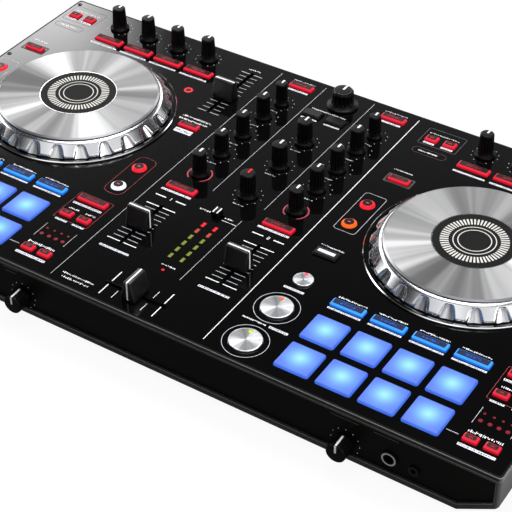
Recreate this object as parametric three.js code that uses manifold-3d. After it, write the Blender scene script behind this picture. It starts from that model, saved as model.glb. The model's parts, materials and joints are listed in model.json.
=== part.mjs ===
// A two-deck DJ controller with a two-channel mixer between its jog wheels.
// Millimetres, +Z up. X runs to the right along the front edge and Y from the front to the back.
// The origin is on the surface that the feet stand on, under the middle of the outer box.

import * as THREE from "three";
import { mergeVertices } from "three/addons/utils/BufferGeometryUtils.js";
import Module from "manifold-3d";

const wasm = await Module();
wasm.setup();

// Driving dimensions

const clearance = 0.3; // between neighbouring pieces, and round whatever passes through a hole
const overrun = 2; // how far a cutter runs past what it cuts
const roundSides = 16; // facets of a small round piece
const knobSides = 12;
const holeSides = 10;
const jogSides = 48; // two facets for each finger dimple
const collarSides = 36;
const cornerFacets = 3;
const padCornerFacets = 1;

const body = {
  height: 41.7,
  wall: 3,
  cornerRadius: 2.5,
  sideMargin: 7.5, // from the outer edge of a deck to the side of the case
  rearMargin: 20.2, // from the row of effect knobs to the back of the case
  chamferWidth: 26.5, // the cut lower corners of the front view
  chamferHeight: 15.9,
  chamferWall: 6,
};
const frameBand = { top: 5, side: 3.5, bottom: 4.4, cornerShift: 0.5, cornerRise: 2.6 };
const panel = { thickness: 3 };
const foot = { height: 3.5, radius: 9, topRadius: 8, inset: 42, insetY: 30, bevel: 1 };

const pads = {
  width: 25.5,
  depth: 25,
  cornerRadius: 2,
  pitchX: 30.8,
  pitchY: 31.8,
  firstRowY: 23.5, // from the front edge of the case
  proud: 1.5,
  sheet: 1.2,
  margin: 2,
};
const keys = { proud: 3, sheet: 1.6, railWidth: 5.5, railGap: 4 };
const modeKeys = { width: 25, depth: 8, afterPads: 28.7, shift: 0.9 };
const effectKeys = {
  width: 26,
  depth: 9.5,
  pitch: 30.05,
  afterCollar: 13.85,
  shiftLeft: 4.6,
  shiftRight: 0.2,
};
const effectKnobs = { afterKeys: 21.55, shiftLeft: 0.4, shiftRight: -1.2 };

const jog = {
  collarRadius: 77.9,
  collarWall: 2.7,
  collarHeight: 2.5,
  frontGap: 12.1, // from the back of the mode keys to the collar
  sideGap: 12.1, // from the collar to the middle of the side columns
  rimRadius: 72.3,
  rimFoot: 1.2, // height of the wheel's lower edge over the panel
  rimStep: 2.3,
  shoulderRadius: 66.5,
  shoulderDrop: 0.6,
  crownRadius: 64.5,
  webTop: 12.2,
  webThickness: 3.2,
  wallInner: 56,
  wallFlare: 4,
  hubRadius: 9,
  boreRadius: 4.3,
};
const dimples = { count: 24, floorRadius: 67.6, width: 11, height: 8.9 };
const jogPlate = { radius: 63.4, thickness: 1.5, labelRadius: 29.4, labelDepth: 0.2, bevel: 0.5 };
const spindle = { flangeRadius: 13, flangeThickness: 1.5, stubRadius: 5, topDrop: 0.6 };

const columnWidth = 7.5; // from the middle of a side column to the edge of its deck
const mixer = { width: 148, offset: -2.6, channelShift: -1.2, channelHalfPitch: 41.8 };

const board = { thickness: 1.6, drop: 14, sideInset: 12, frontInset: 24, rearInset: 8 };
const potBody = { width: 9.5, top: 8 }; // its top lies this far under the panel's face
const faderBody = { width: 9, margin: 6 };
const switchBody = { margin: 3 };
const frontPot = { width: 12, depth: 8 };
const post = { radius: 4, columns: 3, insetX: 60, insetY: 40 };

// Knobs, each from its foot to its cap; reach is the height over the panel.
const knobGap = 0.5; // between a knob's foot and the panel
const shaftRadius = 3;
const indexBar = { width: 1.6, height: 0.3, margin: 0.4 };
const knobTypes = {
  tall: { reach: 20.5, capRadius: 5.2, waistRadius: 5.9, footRadius: 7.2, collar: 2.6, bevel: 0.6 },
  trim: { reach: 19.5, capRadius: 4.6, waistRadius: 5.1, footRadius: 6.2, collar: 2.4, bevel: 0.6 },
  centre: { reach: 20.5, capRadius: 5.7, waistRadius: 6.4, footRadius: 8, collar: 2.6, bevel: 0.6 },
  effect: { reach: 20.2, capRadius: 5.3, waistRadius: 6.2, footRadius: 8, collar: 2.8, bevel: 0.6 },
  browse: { reach: 15, capRadius: 8.5, waistRadius: 8.7, footRadius: 12.6, collar: 2.6, bevel: 1.6 },
};
// Rows of the mixer. Each step is the distance to a row from the one named in front of it, so that
// neighbours keep apart when one step changes.
const rowSteps = {
  edgeToCrossfader: 19,
  crossfaderToFader: 64.4,
  faderToSwitch: 38.1,
  faderToCue: 49.6,
  cueToFilter: 22.8,
  filterToLow: 30.2,
  lowToMid: 29.3,
  midToHigh: 29.3,
  highToTrim: 23.4,
  trimToBrowse: 23.5,
  trimToLoad: 26,
  cueToLowerCentre: 20,
  lowerToMiddleCentre: 43.3,
  middleToUpperCentre: 36,
};
const rows = { crossfader: rowSteps.edgeToCrossfader };
rows.channelFader = rows.crossfader + rowSteps.crossfaderToFader;
rows.slideSwitch = rows.channelFader + rowSteps.faderToSwitch;
rows.cueKey = rows.channelFader + rowSteps.faderToCue;
rows.filter = rows.cueKey + rowSteps.cueToFilter;
rows.low = rows.filter + rowSteps.filterToLow;
rows.mid = rows.low + rowSteps.lowToMid;
rows.high = rows.mid + rowSteps.midToHigh;
rows.trim = rows.high + rowSteps.highToTrim;
rows.browseKey = rows.trim;
rows.browse = rows.trim + rowSteps.trimToBrowse;
rows.loadKey = rows.trim + rowSteps.trimToLoad;
rows.lowerCentre = rows.cueKey + rowSteps.cueToLowerCentre;
rows.middleCentre = rows.lowerCentre + rowSteps.lowerToMiddleCentre;
rows.upperCentre = rows.middleCentre + rowSteps.middleToUpperCentre;
const columnShifts = {
  trim: 2.2,
  filter: 0.9,
  centre: 2.1,
  browse: 1.1,
  browseKey: -1.8,
  crossfader: -1.3,
  slideSwitch: -3.6,
};

// A wedge: its two sides rise straight to the lift and then lean in to a narrow ridge.
const faderCap = { width: 18, depth: 11, height: 15.7, foot: 0.8, ridge: 5.2, lift: 2.2 };
const stem = { width: 2.4, depth: 6 };
const channelTravel = { forward: 22.3, back: 25.1, rest: -1.4 };
const crossTravel = { left: 21.8, right: 21.8 };
const tempoTravel = { forward: 22, back: 38, rest: -8 };
const tempo = { row: 260, inset: 1.9 }; // inset from the middle of the side column
const switchNub = { width: 6, depth: 7.5, height: 4, travel: 3.5, stemWidth: 4, stemDepth: 2.4 };

// Round transport buttons of a deck, in one column left of the pads.
const transport = { gapToPads: 26.45, proud: 1.5, flange: 1.5, flangeThickness: 1.6, bevel: 0.5 };
const transportButtons = [
  { name: "play_button", y: 20.3, radius: 11.4 },
  { name: "cue_button", y: 58.7, radius: 11.4 },
  { name: "sync_button", y: 92.5, radius: 7.2 },
];

// Keys of a deck beside its two rails. toMiddle is the distance from the middle of the side column
// towards the jog wheel, and y is the distance from the front edge of the case.
const leftKeys = {
  shift: { toMiddle: 3.8, y: 124.75, width: 18.4, depth: 10.5 },
  frontRound: { toMiddle: 0, y: 162.8, radius: 4.9 },
  rearRound: { toMiddle: 0, y: 188.8, radius: 4.9 },
  framed: { toMiddle: 2.2, y: 229.25, width: 15.3, depth: 8.5 },
};
const assignKeys = {
  inner: { toMiddle: 15.8, y: 288, width: 9.5, depth: 8 },
  outer: { toMiddle: 0.6, y: 288, width: 9.5, depth: 8 },
};
const rightKeys = {
  parameterDown: { toMiddle: 13.2, y: 19.25, width: 8.8, depth: 6.5 },
  parameterUp: { toMiddle: -1.3, y: 19.25, width: 8.8, depth: 6.5 },
  halve: { toMiddle: 14.5, y: 64.25, width: 9.8, depth: 6.5 },
  double: { toMiddle: -1, y: 64.25, width: 9.8, depth: 6.5 },
  loop: { toMiddle: 6.2, y: 85.5, width: 24.6, depth: 7 },
  frontRound: { toMiddle: 2.6, y: 110.4, radius: 4.9 },
  rearRound: { toMiddle: 3, y: 136.5, radius: 4.9 },
  tempoRange: { toMiddle: 3, y: 203.75, width: 17.2, depth: 7.5 },
};

const loadKeys = { width: 22.5, depth: 8.5, shift: 4.6 };
const browseKeys = { width: 16, depth: 9.5, halfPitch: 10.2, rail: 4, branch: 6 };
const cueKeys = { width: 25, depth: 8, shift: 0.6, rail: 5 };

const frontKnob = {
  reach: 11,
  capRadius: 7,
  footRadius: 7.6,
  shaftLength: 16,
};
const jacks = { nutDepth: 1.2, barrelWall: 1.4, length: 18 };
// Places on the front face: how far the axis is from the case's end on its side, and how high
// over the case's lower edge.
const frontKnobs = {
  headphone_level_knob: { side: -1, fromEnd: 186.5, rise: 13.7 },
  microphone_level_knob: { side: 1, fromEnd: 106.5, rise: 12.7 },
};
const frontJacks = {
  microphone_jack: { side: 1, fromEnd: 74.8, rise: 15.7, bore: 3.25, nut: 6 },
  headphone_jack: { side: 1, fromEnd: 57.5, rise: 14.7, bore: 1.8, nut: 3.8 },
};
const frontPlate = { recess: 2, thickness: 2.5 };

const rearPlate = { fromEnd: 111.5, width: 150, height: 22, belowBoard: 6.9, thickness: 2.5 };
const usbSocket = { shift: -52, width: 12, height: 10.9, wall: 1.1, depth: 14 };
const outputSockets = { firstShift: -12, pitch: 20, count: 4, radius: 4.2, bore: 1.7, depth: 9 };

// Places worked out from the driving dimensions

const padsHalfWidth = 1.5 * pads.pitchX + pads.width / 2;
const sideColumn = jog.collarRadius + jog.sideGap; // from the jog's axis to a side column
const deckHalfWidth = sideColumn + columnWidth;
const secondPadRowY = pads.firstRowY + pads.pitchY;
const modeKeyY = secondPadRowY + modeKeys.afterPads;
const jogY = modeKeyY + modeKeys.depth / 2 + jog.frontGap + jog.collarRadius;
const effectKeyY = jogY + jog.collarRadius + effectKeys.afterCollar;
const effectKnobY = effectKeyY + effectKnobs.afterKeys;
const bodyDepth = effectKnobY + body.rearMargin;
const bodyHalfWidth = mixer.width / 2 + 2 * deckHalfWidth + body.sideMargin;
const caseBottom = foot.height + clearance;
const panelTop = caseBottom + body.height;
const panelUnder = panelTop - panel.thickness;
const frontY = -(bodyDepth + frontKnob.reach) / 2 + frontKnob.reach;
const rearY = frontY + bodyDepth;
const boardTop = panelTop - board.drop;
const boardUnder = boardTop - board.thickness;
const potTop = panelTop - potBody.top;
const deckX = {
  left: mixer.offset - mixer.width / 2 - deckHalfWidth,
  right: mixer.offset + mixer.width / 2 + deckHalfWidth,
};
const channelMiddle = mixer.offset + mixer.channelShift;
const chamferX = bodyHalfWidth - body.chamferWidth;
const transportX = -(padsHalfWidth + transport.gapToPads);
const fromFront = (y) => frontY + y;
const frontPlace = ({ side, fromEnd, rise }) => ({
  x: side * (bodyHalfWidth - fromEnd),
  z: caseBottom + rise,
});
const rearPlateX = bodyHalfWidth - rearPlate.fromEnd;
const rearPlateZ = boardUnder - rearPlate.belowBoard; // its sockets hang under the board

// Materials

const plain = (color, roughness, metalness = 0) =>
  new THREE.MeshStandardMaterial({ color, roughness, metalness });
const materials = {
  glossBlack: plain(0x0c0c0d, 0.12),
  satinBlack: plain(0x17171a, 0.45),
  rubber: plain(0x101012, 0.85),
  knobBlack: plain(0x141416, 0.4),
  chrome: plain(0xd8d9dc, 0.14, 1),
  aluminium: plain(0xc9cbce, 0.3, 1),
  steel: plain(0x9a9da0, 0.35, 1),
  padBlue: plain(0x6fa8ff, 0.5),
  keyRed: plain(0xb31a26, 0.4),
  keyDark: plain(0x1c1f2a, 0.4),
  boardGreen: plain(0x1d4a31, 0.6),
};

// Shapes

// A closed three.js geometry as a solid that can be joined and cut.
function solid(geometry) {
  const bare = geometry.clone();
  bare.deleteAttribute("normal");
  bare.deleteAttribute("uv");
  const merged = mergeVertices(bare);
  return new wasm.Manifold(
    new wasm.Mesh({
      numProp: 3,
      vertProperties: new Float32Array(merged.attributes.position.array),
      triVerts: new Uint32Array(merged.index.array),
    }),
  );
}

function geometryOf(made) {
  const { vertProperties, triVerts } = made.getMesh();
  const geometry = new THREE.BufferGeometry();
  geometry.setAttribute("position", new THREE.BufferAttribute(new Float32Array(vertProperties), 3));
  geometry.setIndex(new THREE.BufferAttribute(new Uint32Array(triVerts), 1));
  geometry.computeVertexNormals();
  return geometry;
}

const join = (pieces) => pieces.reduce((whole, piece) => whole.add(piece));
const cut = (whole, cutters) => cutters.reduce((rest, cutter) => rest.subtract(cutter), whole);

// A block around (x, y), from height low to height high.
function block(x, y, width, depth, low, high) {
  const geometry = new THREE.BoxGeometry(width, depth, high - low);
  geometry.translate(x, y, (low + high) / 2);
  return solid(geometry);
}

// An upright solid of revolution around (x, y), from [radius, height] points that run upwards
// on the outside.
function turned(points, sides, x = 0, y = 0) {
  const profile = points.map(([radius, height]) => new THREE.Vector2(radius, height));
  const geometry = new THREE.LatheGeometry(profile, sides);
  geometry.rotateX(Math.PI / 2);
  geometry.translate(x, y, 0);
  return solid(geometry);
}

const cylinder = (x, y, radius, low, high, sides = roundSides) =>
  turned([[0, low], [radius, low], [radius, high], [0, high]], sides, x, y);

// A solid of revolution whose axis runs from the front to the back, from [radius, y] points that
// run backwards on the outside.
function turnedAlongY(points, sides, x, z) {
  const profile = points.map(([radius, along]) => new THREE.Vector2(radius, along));
  const geometry = new THREE.LatheGeometry(profile, sides);
  geometry.translate(x, 0, z);
  return solid(geometry);
}

// Traces a rectangle with rounded corners on a Shape or a Path.
function traceRounded(path, x, y, width, depth, radius) {
  const [left, right, near, far] = [x - width / 2, x + width / 2, y - depth / 2, y + depth / 2];
  path.moveTo(left + radius, near);
  path.lineTo(right - radius, near);
  path.absarc(right - radius, near + radius, radius, -Math.PI / 2, 0);
  path.lineTo(right, far - radius);
  path.absarc(right - radius, far - radius, radius, 0, Math.PI / 2);
  path.lineTo(left + radius, far);
  path.absarc(left + radius, far - radius, radius, Math.PI / 2, Math.PI);
  path.lineTo(left, near + radius);
  path.absarc(left + radius, near + radius, radius, Math.PI, 1.5 * Math.PI);
  return path;
}

// A shape drawn in plan, raised from height low to height high.
function raised(shape, low, high, curveSegments = cornerFacets) {
  const depth = high - low;
  const geometry = new THREE.ExtrudeGeometry(shape, { depth, bevelEnabled: false, curveSegments });
  geometry.translate(0, 0, low);
  return solid(geometry);
}

// A shape drawn as seen from the front, with x and height, that runs from y = near to y = far.
function alongY(points, near, far) {
  const shape = new THREE.Shape(points.map(([x, z]) => new THREE.Vector2(x, z)));
  const geometry = new THREE.ExtrudeGeometry(shape, { depth: far - near, bevelEnabled: false });
  geometry.rotateX(Math.PI / 2);
  geometry.translate(0, far, 0);
  return solid(geometry);
}

// Lists of what the panel carries

const knobs = [];
const addKnob = (name, type, x, y) => knobs.push({ name, type: knobTypes[type], x, y: fromFront(y) });

const channels = [
  { number: 1, x: channelMiddle - mixer.channelHalfPitch },
  { number: 2, x: channelMiddle + mixer.channelHalfPitch },
];
for (const { number, x } of channels) {
  addKnob(`channel_${number}_trim_knob`, "trim", x + columnShifts.trim, rows.trim);
  addKnob(`channel_${number}_high_knob`, "tall", x, rows.high);
  addKnob(`channel_${number}_mid_knob`, "tall", x, rows.mid);
  addKnob(`channel_${number}_low_knob`, "tall", x, rows.low);
  addKnob(`channel_${number}_filter_knob`, "tall", x + columnShifts.filter, rows.filter);
}
const centreX = mixer.offset + columnShifts.centre;
addKnob("main_level_knob", "centre", centreX, rows.upperCentre);
addKnob("monitor_mix_knob", "centre", centreX, rows.middleCentre);
addKnob("sample_level_knob", "centre", centreX, rows.lowerCentre);
const browseX = mixer.offset + columnShifts.browse;
addKnob("browse_knob", "browse", browseX, rows.browse);

const decks = [
  { side: "left", x: deckX.left, keyShift: effectKeys.shiftLeft, knobShift: effectKnobs.shiftLeft },
  { side: "right", x: deckX.right, keyShift: effectKeys.shiftRight, knobShift: effectKnobs.shiftRight },
];
const columnShares = [-1.5, -0.5, 0.5, 1.5];
for (const deck of decks)
  columnShares.forEach((column, i) => {
    const x = deck.x + column * effectKeys.pitch + deck.knobShift;
    addKnob(`${deck.side}_effect_knob_${i + 1}`, "effect", x, effectKnobY);
  });

// Sliders: where the cap rests, how far it goes each way along its slot, and the slot's direction.
const faders = [
  ...channels.map(({ number, x }) => ({
    name: `channel_${number}_fader`,
    x,
    y: fromFront(rows.channelFader + channelTravel.rest),
    back: channelTravel.back,
    forward: channelTravel.forward,
  })),
  {
    name: "crossfader",
    x: mixer.offset + columnShifts.crossfader,
    y: fromFront(rows.crossfader),
    back: crossTravel.right,
    forward: crossTravel.left,
    sideways: true,
  },
  ...decks.map(({ side, x }) => ({
    name: `${side}_tempo_slider`,
    x: x + sideColumn - tempo.inset,
    y: fromFront(tempo.row + tempoTravel.rest),
    back: tempoTravel.back,
    forward: tempoTravel.forward,
  })),
];

// The space that a stem sweeps along its travel: its middle and its size in plan.
function slotOf({ x, y, back, forward, sideways }, along = stem.depth, across = stem.width) {
  const length = back + forward + along;
  const middle = (back - forward) / 2;
  return sideways
    ? { x: x + middle, y, width: length, depth: across }
    : { x, y: y + middle, width: across, depth: length };
}

const slideSwitch = {
  x: mixer.offset + columnShifts.slideSwitch,
  y: fromFront(rows.slideSwitch),
  back: switchNub.travel,
  forward: switchNub.travel,
  sideways: true,
};

// Keys with their places in the part's own frame.
const placeKeys = (list, columnX, towardsMiddle) =>
  Object.values(list).map(({ toMiddle, y, ...size }) => ({
    x: columnX + towardsMiddle * toMiddle,
    y: fromFront(y),
    ...size,
  }));

for (const deck of decks) {
  deck.leftKeys = placeKeys(leftKeys, deck.x - sideColumn, 1);
  deck.assignKeys = placeKeys(assignKeys, deck.x - sideColumn, 1);
  deck.rightKeys = placeKeys(rightKeys, deck.x + sideColumn, -1);
  deck.modeKeys = columnShares.map((column) => ({
    x: deck.x + column * pads.pitchX + modeKeys.shift,
    y: fromFront(modeKeyY),
    width: modeKeys.width,
    depth: modeKeys.depth,
  }));
  deck.effectKeys = columnShares.map((column) => ({
    x: deck.x + column * effectKeys.pitch + deck.keyShift,
    y: fromFront(effectKeyY),
    width: effectKeys.width,
    depth: effectKeys.depth,
  }));
  deck.keys = [...deck.leftKeys, ...deck.assignKeys, ...deck.rightKeys, ...deck.modeKeys, ...deck.effectKeys];
  deck.pads = columnShares.flatMap((column) =>
    [pads.firstRowY, secondPadRowY].map((y) => ({
      x: deck.x + column * pads.pitchX,
      y: fromFront(y),
      width: pads.width,
      depth: pads.depth,
    })),
  );
  deck.buttons = transportButtons.map(({ name, y, radius }) => ({
    name: `${deck.side}_${name}`,
    x: deck.x + transportX,
    y: fromFront(y),
    radius,
  }));
}
const mixerLoadKeys = [
  ...channels.map(({ x }) => ({
    x: x + loadKeys.shift,
    y: fromFront(rows.loadKey),
    width: loadKeys.width,
    depth: loadKeys.depth,
  })),
  ...[-1, 1].map((side) => ({
    x: mixer.offset + columnShifts.browseKey + side * browseKeys.halfPitch,
    y: fromFront(rows.browseKey),
    width: browseKeys.width,
    depth: browseKeys.depth,
  })),
];
const mixerCueKeys = channels.map(({ x }) => ({
  x: x + cueKeys.shift,
  y: fromFront(rows.cueKey),
  width: cueKeys.width,
  depth: cueKeys.depth,
}));

// The case

// The front view of the case: upright sides and cut lower corners.
function frontView(halfWidth, lowHalfWidth, low, cornerTop, high) {
  return [
    [-lowHalfWidth, low],
    [lowHalfWidth, low],
    [halfWidth, cornerTop],
    [halfWidth, high],
    [-halfWidth, high],
    [-halfWidth, cornerTop],
  ];
}

const windowPoints = (inset) =>
  frontView(
    bodyHalfWidth - frameBand.side - inset,
    chamferX - frameBand.cornerShift - inset,
    caseBottom + frameBand.bottom + inset,
    caseBottom + body.chamferHeight + frameBand.cornerRise + inset / 2,
    panelTop - frameBand.top - inset,
  );

function casePlan() {
  const middleY = (frontY + rearY) / 2;
  return traceRounded(new THREE.Shape(), 0, middleY, 2 * bodyHalfWidth, bodyDepth, body.cornerRadius);
}

function bodyFrame() {
  const top = panelUnder - clearance;
  const cornerTop = caseBottom + body.chamferHeight;
  const outside = alongY(frontView(bodyHalfWidth, chamferX, caseBottom, cornerTop, top), frontY, rearY);
  const rounded = outside.intersect(raised(casePlan(), caseBottom - overrun, panelTop));
  const inside = alongY(
    frontView(bodyHalfWidth - body.wall, chamferX - body.chamferWall, caseBottom, cornerTop, top + overrun),
    frontY + body.wall,
    rearY - body.wall,
  );
  const floorWidth = 2 * (chamferX - body.chamferWall);
  const middleY = (frontY + rearY) / 2;
  const insideDepth = bodyDepth - 2 * body.wall;
  const floorOpening = block(0, middleY, floorWidth, insideDepth, caseBottom - overrun, caseBottom + overrun);
  const frontWindow = alongY(windowPoints(0), frontY - overrun, frontY + body.wall + overrun);
  const rearLow = rearPlateZ - rearPlate.height / 2;
  const rearWindow = block(
    rearPlateX,
    rearY,
    rearPlate.width,
    2 * (body.wall + overrun),
    rearLow,
    rearLow + rearPlate.height,
  );
  return cut(rounded, [inside, floorOpening, frontWindow, rearWindow]);
}

// What is cut out of the panel round a key, a pad, a shaft or a stem.
function panelHole({ x, y, width, depth, radius, sides = holeSides }) {
  const [low, high] = [panelUnder - overrun, panelTop + overrun];
  return radius
    ? cylinder(x, y, radius + clearance, low, high, sides)
    : block(x, y, width + 2 * clearance, depth + 2 * clearance, low, high);
}

function topPanel() {
  const plate = raised(casePlan(), panelUnder, panelTop);
  const holes = [
    ...knobs.map(({ x, y }) => ({ x, y, radius: shaftRadius + clearance })),
    ...faders.map((fader) => slotOf(fader)),
    slotOf(slideSwitch, switchNub.stemWidth, switchNub.stemDepth),
    ...mixerLoadKeys,
    ...mixerCueKeys,
  ];
  for (const deck of decks) {
    holes.push({ x: deck.x, y: fromFront(jogY), radius: spindle.stubRadius + clearance });
    holes.push(...deck.keys, ...deck.pads);
    holes.push(...deck.buttons.map((button) => ({ ...button, sides: roundSides })));
  }
  const collarInner = jog.collarRadius - jog.collarWall;
  const collars = decks.map(({ x }) =>
    turned(
      [
        [collarInner, panelTop - clearance],
        [jog.collarRadius, panelTop - clearance],
        [jog.collarRadius, panelTop + jog.collarHeight],
        [collarInner, panelTop + jog.collarHeight],
        [collarInner, panelTop - clearance],
      ],
      collarSides,
      x,
      fromFront(jogY),
    ),
  );
  return cut(join([plate, ...collars]), holes.map(panelHole));
}

function basePlate() {
  const width = 2 * (chamferX - body.chamferWall - clearance);
  const depth = bodyDepth - 2 * (body.wall + clearance);
  const top = caseBottom + body.wall;
  const floor = block(0, (frontY + rearY) / 2, width, depth, caseBottom, top);
  const posts = [];
  const halfSpan = width / 2 - post.insetX;
  for (let column = 0; column < post.columns; column++) {
    const x = -halfSpan + (2 * halfSpan * column) / (post.columns - 1);
    for (const y of [frontY + post.insetY, rearY - post.insetY])
      posts.push(cylinder(x, y, post.radius, top - clearance, boardUnder - clearance, holeSides));
  }
  return join([floor, ...posts]);
}

function mainBoard() {
  const near = frontY + board.frontInset;
  const far = rearY - board.rearInset;
  const width = 2 * (bodyHalfWidth - board.sideInset);
  const plate = block(0, (near + far) / 2, width, far - near, boardUnder, boardTop);
  const sunk = boardTop - clearance;
  const pots = knobs.map(({ x, y }) => block(x, y, potBody.width, potBody.width, sunk, potTop));
  const tracks = faders.map((fader) => {
    const slot = slotOf(fader, stem.depth + 2 * faderBody.margin, faderBody.width);
    return block(slot.x, slot.y, slot.width, slot.depth, sunk, potTop);
  });
  const switchSlot = slotOf(
    slideSwitch,
    switchNub.stemWidth + 2 * switchBody.margin,
    switchNub.stemDepth + 2 * switchBody.margin,
  );
  const switchBlock = block(switchSlot.x, switchSlot.y, switchSlot.width, switchSlot.depth, sunk, potTop);
  // The crossfader lies in front of the board's edge, on a tongue of the board.
  const crossfader = faders.find((fader) => fader.sideways);
  const crossSlot = slotOf(crossfader, stem.depth + 2 * faderBody.margin, faderBody.width);
  const tongueNear = crossSlot.y - faderBody.width / 2;
  const tongueDepth = near + overrun - tongueNear;
  const tongue = block(
    crossSlot.x,
    tongueNear + tongueDepth / 2,
    crossSlot.width,
    tongueDepth,
    boardUnder,
    boardTop,
  );
  // The front knobs turn two more potentiometers, which hang under the board's front edge.
  const potNear = frontY + frontPlate.recess + frontKnob.shaftLength + clearance;
  const frontPots = Object.values(frontKnobs).map((knob) => {
    const { x, z } = frontPlace(knob);
    const low = z - frontPot.width / 2;
    return block(x, potNear + frontPot.depth / 2, frontPot.width, frontPot.depth, low, boardTop - clearance);
  });
  return join([plate, tongue, switchBlock, ...pots, ...tracks, ...frontPots]);
}

function frontPanel() {
  const near = frontY + frontPlate.recess;
  const far = near + frontPlate.thickness;
  const plate = alongY(windowPoints(clearance), near, far);
  const bores = [
    ...Object.values(frontKnobs).map((knob) => [frontPlace(knob), shaftRadius]),
    ...Object.values(frontJacks).map((jack) => [frontPlace(jack), jack.bore + jacks.barrelWall]),
  ].map(([{ x, z }, radius]) => {
    const hole = radius + 2 * clearance;
    const profile = [[0, near - overrun], [hole, near - overrun], [hole, far + overrun], [0, far + overrun]];
    return turnedAlongY(profile, roundSides, x, z);
  });
  return cut(plate, bores);
}

// A jack socket: a bored barrel behind the front panel with a nut on its face.
function jackSocket(jack) {
  const { bore, nut } = jack;
  const { x, z } = frontPlace(jack);
  const face = frontY + frontPlate.recess;
  const mouth = face - clearance - jacks.nutDepth;
  const barrel = bore + jacks.barrelWall;
  const end = face + jacks.length;
  const profile = [
    [bore, mouth],
    [nut, mouth],
    [nut, face - clearance],
    [barrel, face - clearance],
    [barrel, end],
    [bore, end],
    [bore, mouth],
  ];
  return turnedAlongY(profile, roundSides, x, z);
}

function rearConnectorPlate() {
  const z = rearPlateZ;
  const near = rearY - rearPlate.thickness;
  const plate = block(
    rearPlateX,
    (near + rearY) / 2,
    rearPlate.width - 2 * clearance,
    rearPlate.thickness,
    z - rearPlate.height / 2 + clearance,
    z + rearPlate.height / 2 - clearance,
  );
  const usbX = rearPlateX + usbSocket.shift;
  const usbMiddleY = rearY - usbSocket.depth / 2;
  const halfHeight = usbSocket.height / 2;
  const usb = block(usbX, usbMiddleY, usbSocket.width, usbSocket.depth, z - halfHeight, z + halfHeight);
  const opening = block(
    usbX,
    rearY - usbSocket.depth / 2 + usbSocket.wall,
    usbSocket.width - 2 * usbSocket.wall,
    usbSocket.depth,
    z - halfHeight + usbSocket.wall,
    z + halfHeight - usbSocket.wall,
  );
  const barrels = [];
  const bores = [];
  for (let i = 0; i < outputSockets.count; i++) {
    const x = rearPlateX + outputSockets.firstShift + i * outputSockets.pitch;
    const inner = rearY - rearPlate.thickness - outputSockets.depth;
    const tip = rearY - rearPlate.thickness / 2;
    barrels.push(
      turnedAlongY(
        [[0, inner], [outputSockets.radius, inner], [outputSockets.radius, tip], [0, tip]],
        holeSides,
        x,
        z,
      ),
    );
    const boreEnd = rearY + overrun;
    const boreStart = boreEnd - outputSockets.depth;
    bores.push(
      turnedAlongY(
        [[0, boreStart], [outputSockets.bore, boreStart], [outputSockets.bore, boreEnd], [0, boreEnd]],
        holeSides,
        x,
        z,
      ),
    );
  }
  return cut(join([plate, usb, ...barrels]), [opening, ...bores]);
}

function rubberFoot(x, y) {
  const profile = [
    [0, 0],
    [foot.topRadius, 0],
    [foot.radius, foot.bevel],
    [foot.radius, foot.height],
    [0, foot.height],
  ];
  return turned(profile, roundSides, x, y);
}

// Jog wheels

function jogWheel(x, y) {
  const at = (height) => panelTop + height;
  const webUnder = jog.webTop - jog.webThickness;
  const hubFoot = 2 * clearance + spindle.flangeThickness;
  const wheel = turned(
    [
      [jog.boreRadius, at(hubFoot)],
      [jog.hubRadius, at(hubFoot)],
      [jog.hubRadius, at(webUnder)],
      [jog.wallInner, at(webUnder)],
      [jog.wallInner + jog.wallFlare, at(jog.rimFoot)],
      [jog.rimRadius, at(jog.rimFoot)],
      [jog.rimRadius, at(jog.rimFoot + jog.rimStep)],
      [jog.shoulderRadius, at(jog.webTop - jog.shoulderDrop)],
      [jog.crownRadius, at(jog.webTop)],
      [jog.boreRadius, at(jog.webTop)],
      [jog.boreRadius, at(hubFoot)],
    ],
    jogSides,
  );
  const reach = jog.rimRadius - dimples.floorRadius + overrun;
  const scoops = [];
  for (let i = 0; i < dimples.count; i++) {
    const geometry = new THREE.BoxGeometry(reach, dimples.width, dimples.height + overrun);
    geometry.translate(dimples.floorRadius + reach / 2, 0, at(jog.rimFoot + (dimples.height - overrun) / 2));
    geometry.rotateZ((2 * Math.PI * i) / dimples.count);
    scoops.push(solid(geometry));
  }
  return cut(wheel, scoops).translate([x, y, 0]);
}

function jogPlateDisc(x, y) {
  const low = panelTop + jog.webTop + clearance;
  const high = low + jogPlate.thickness;
  return turned(
    [
      [0, low],
      [jogPlate.radius, low],
      [jogPlate.radius, high - jogPlate.bevel],
      [jogPlate.radius - jogPlate.bevel, high],
      [jogPlate.labelRadius, high],
      [jogPlate.labelRadius, high - jogPlate.labelDepth],
      [0, high - jogPlate.labelDepth],
    ],
    jogSides,
    x,
    y,
  );
}

function jogSpindle(x, y) {
  const flangeFoot = panelTop + clearance;
  const flangeTop = flangeFoot + spindle.flangeThickness;
  const pin = jog.boreRadius - clearance;
  return turned(
    [
      [0, boardTop + clearance],
      [spindle.stubRadius, boardTop + clearance],
      [spindle.stubRadius, flangeFoot],
      [spindle.flangeRadius, flangeFoot],
      [spindle.flangeRadius, flangeTop],
      [pin, flangeTop],
      [pin, panelTop + jog.webTop - spindle.topDrop],
      [0, panelTop + jog.webTop - spindle.topDrop],
    ],
    roundSides,
    x,
    y,
  );
}

// Knobs

function panelKnob({ type, x, y }) {
  const foot = panelTop + knobGap;
  const top = panelTop + type.reach - indexBar.height;
  const knob = turned(
    [
      [0, potTop + clearance],
      [shaftRadius, potTop + clearance],
      [shaftRadius, foot],
      [type.footRadius, foot],
      [type.footRadius, foot + type.collar / 2],
      [type.waistRadius, foot + type.collar],
      [type.capRadius, top - type.bevel],
      [type.capRadius - type.bevel, top],
      [0, top],
    ],
    knobSides,
    x,
    y,
  );
  const length = type.capRadius - type.bevel - indexBar.margin;
  const bar = block(x, y + length / 2, indexBar.width, length, top - indexBar.height, top + indexBar.height);
  return join([knob, bar]);
}

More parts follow.
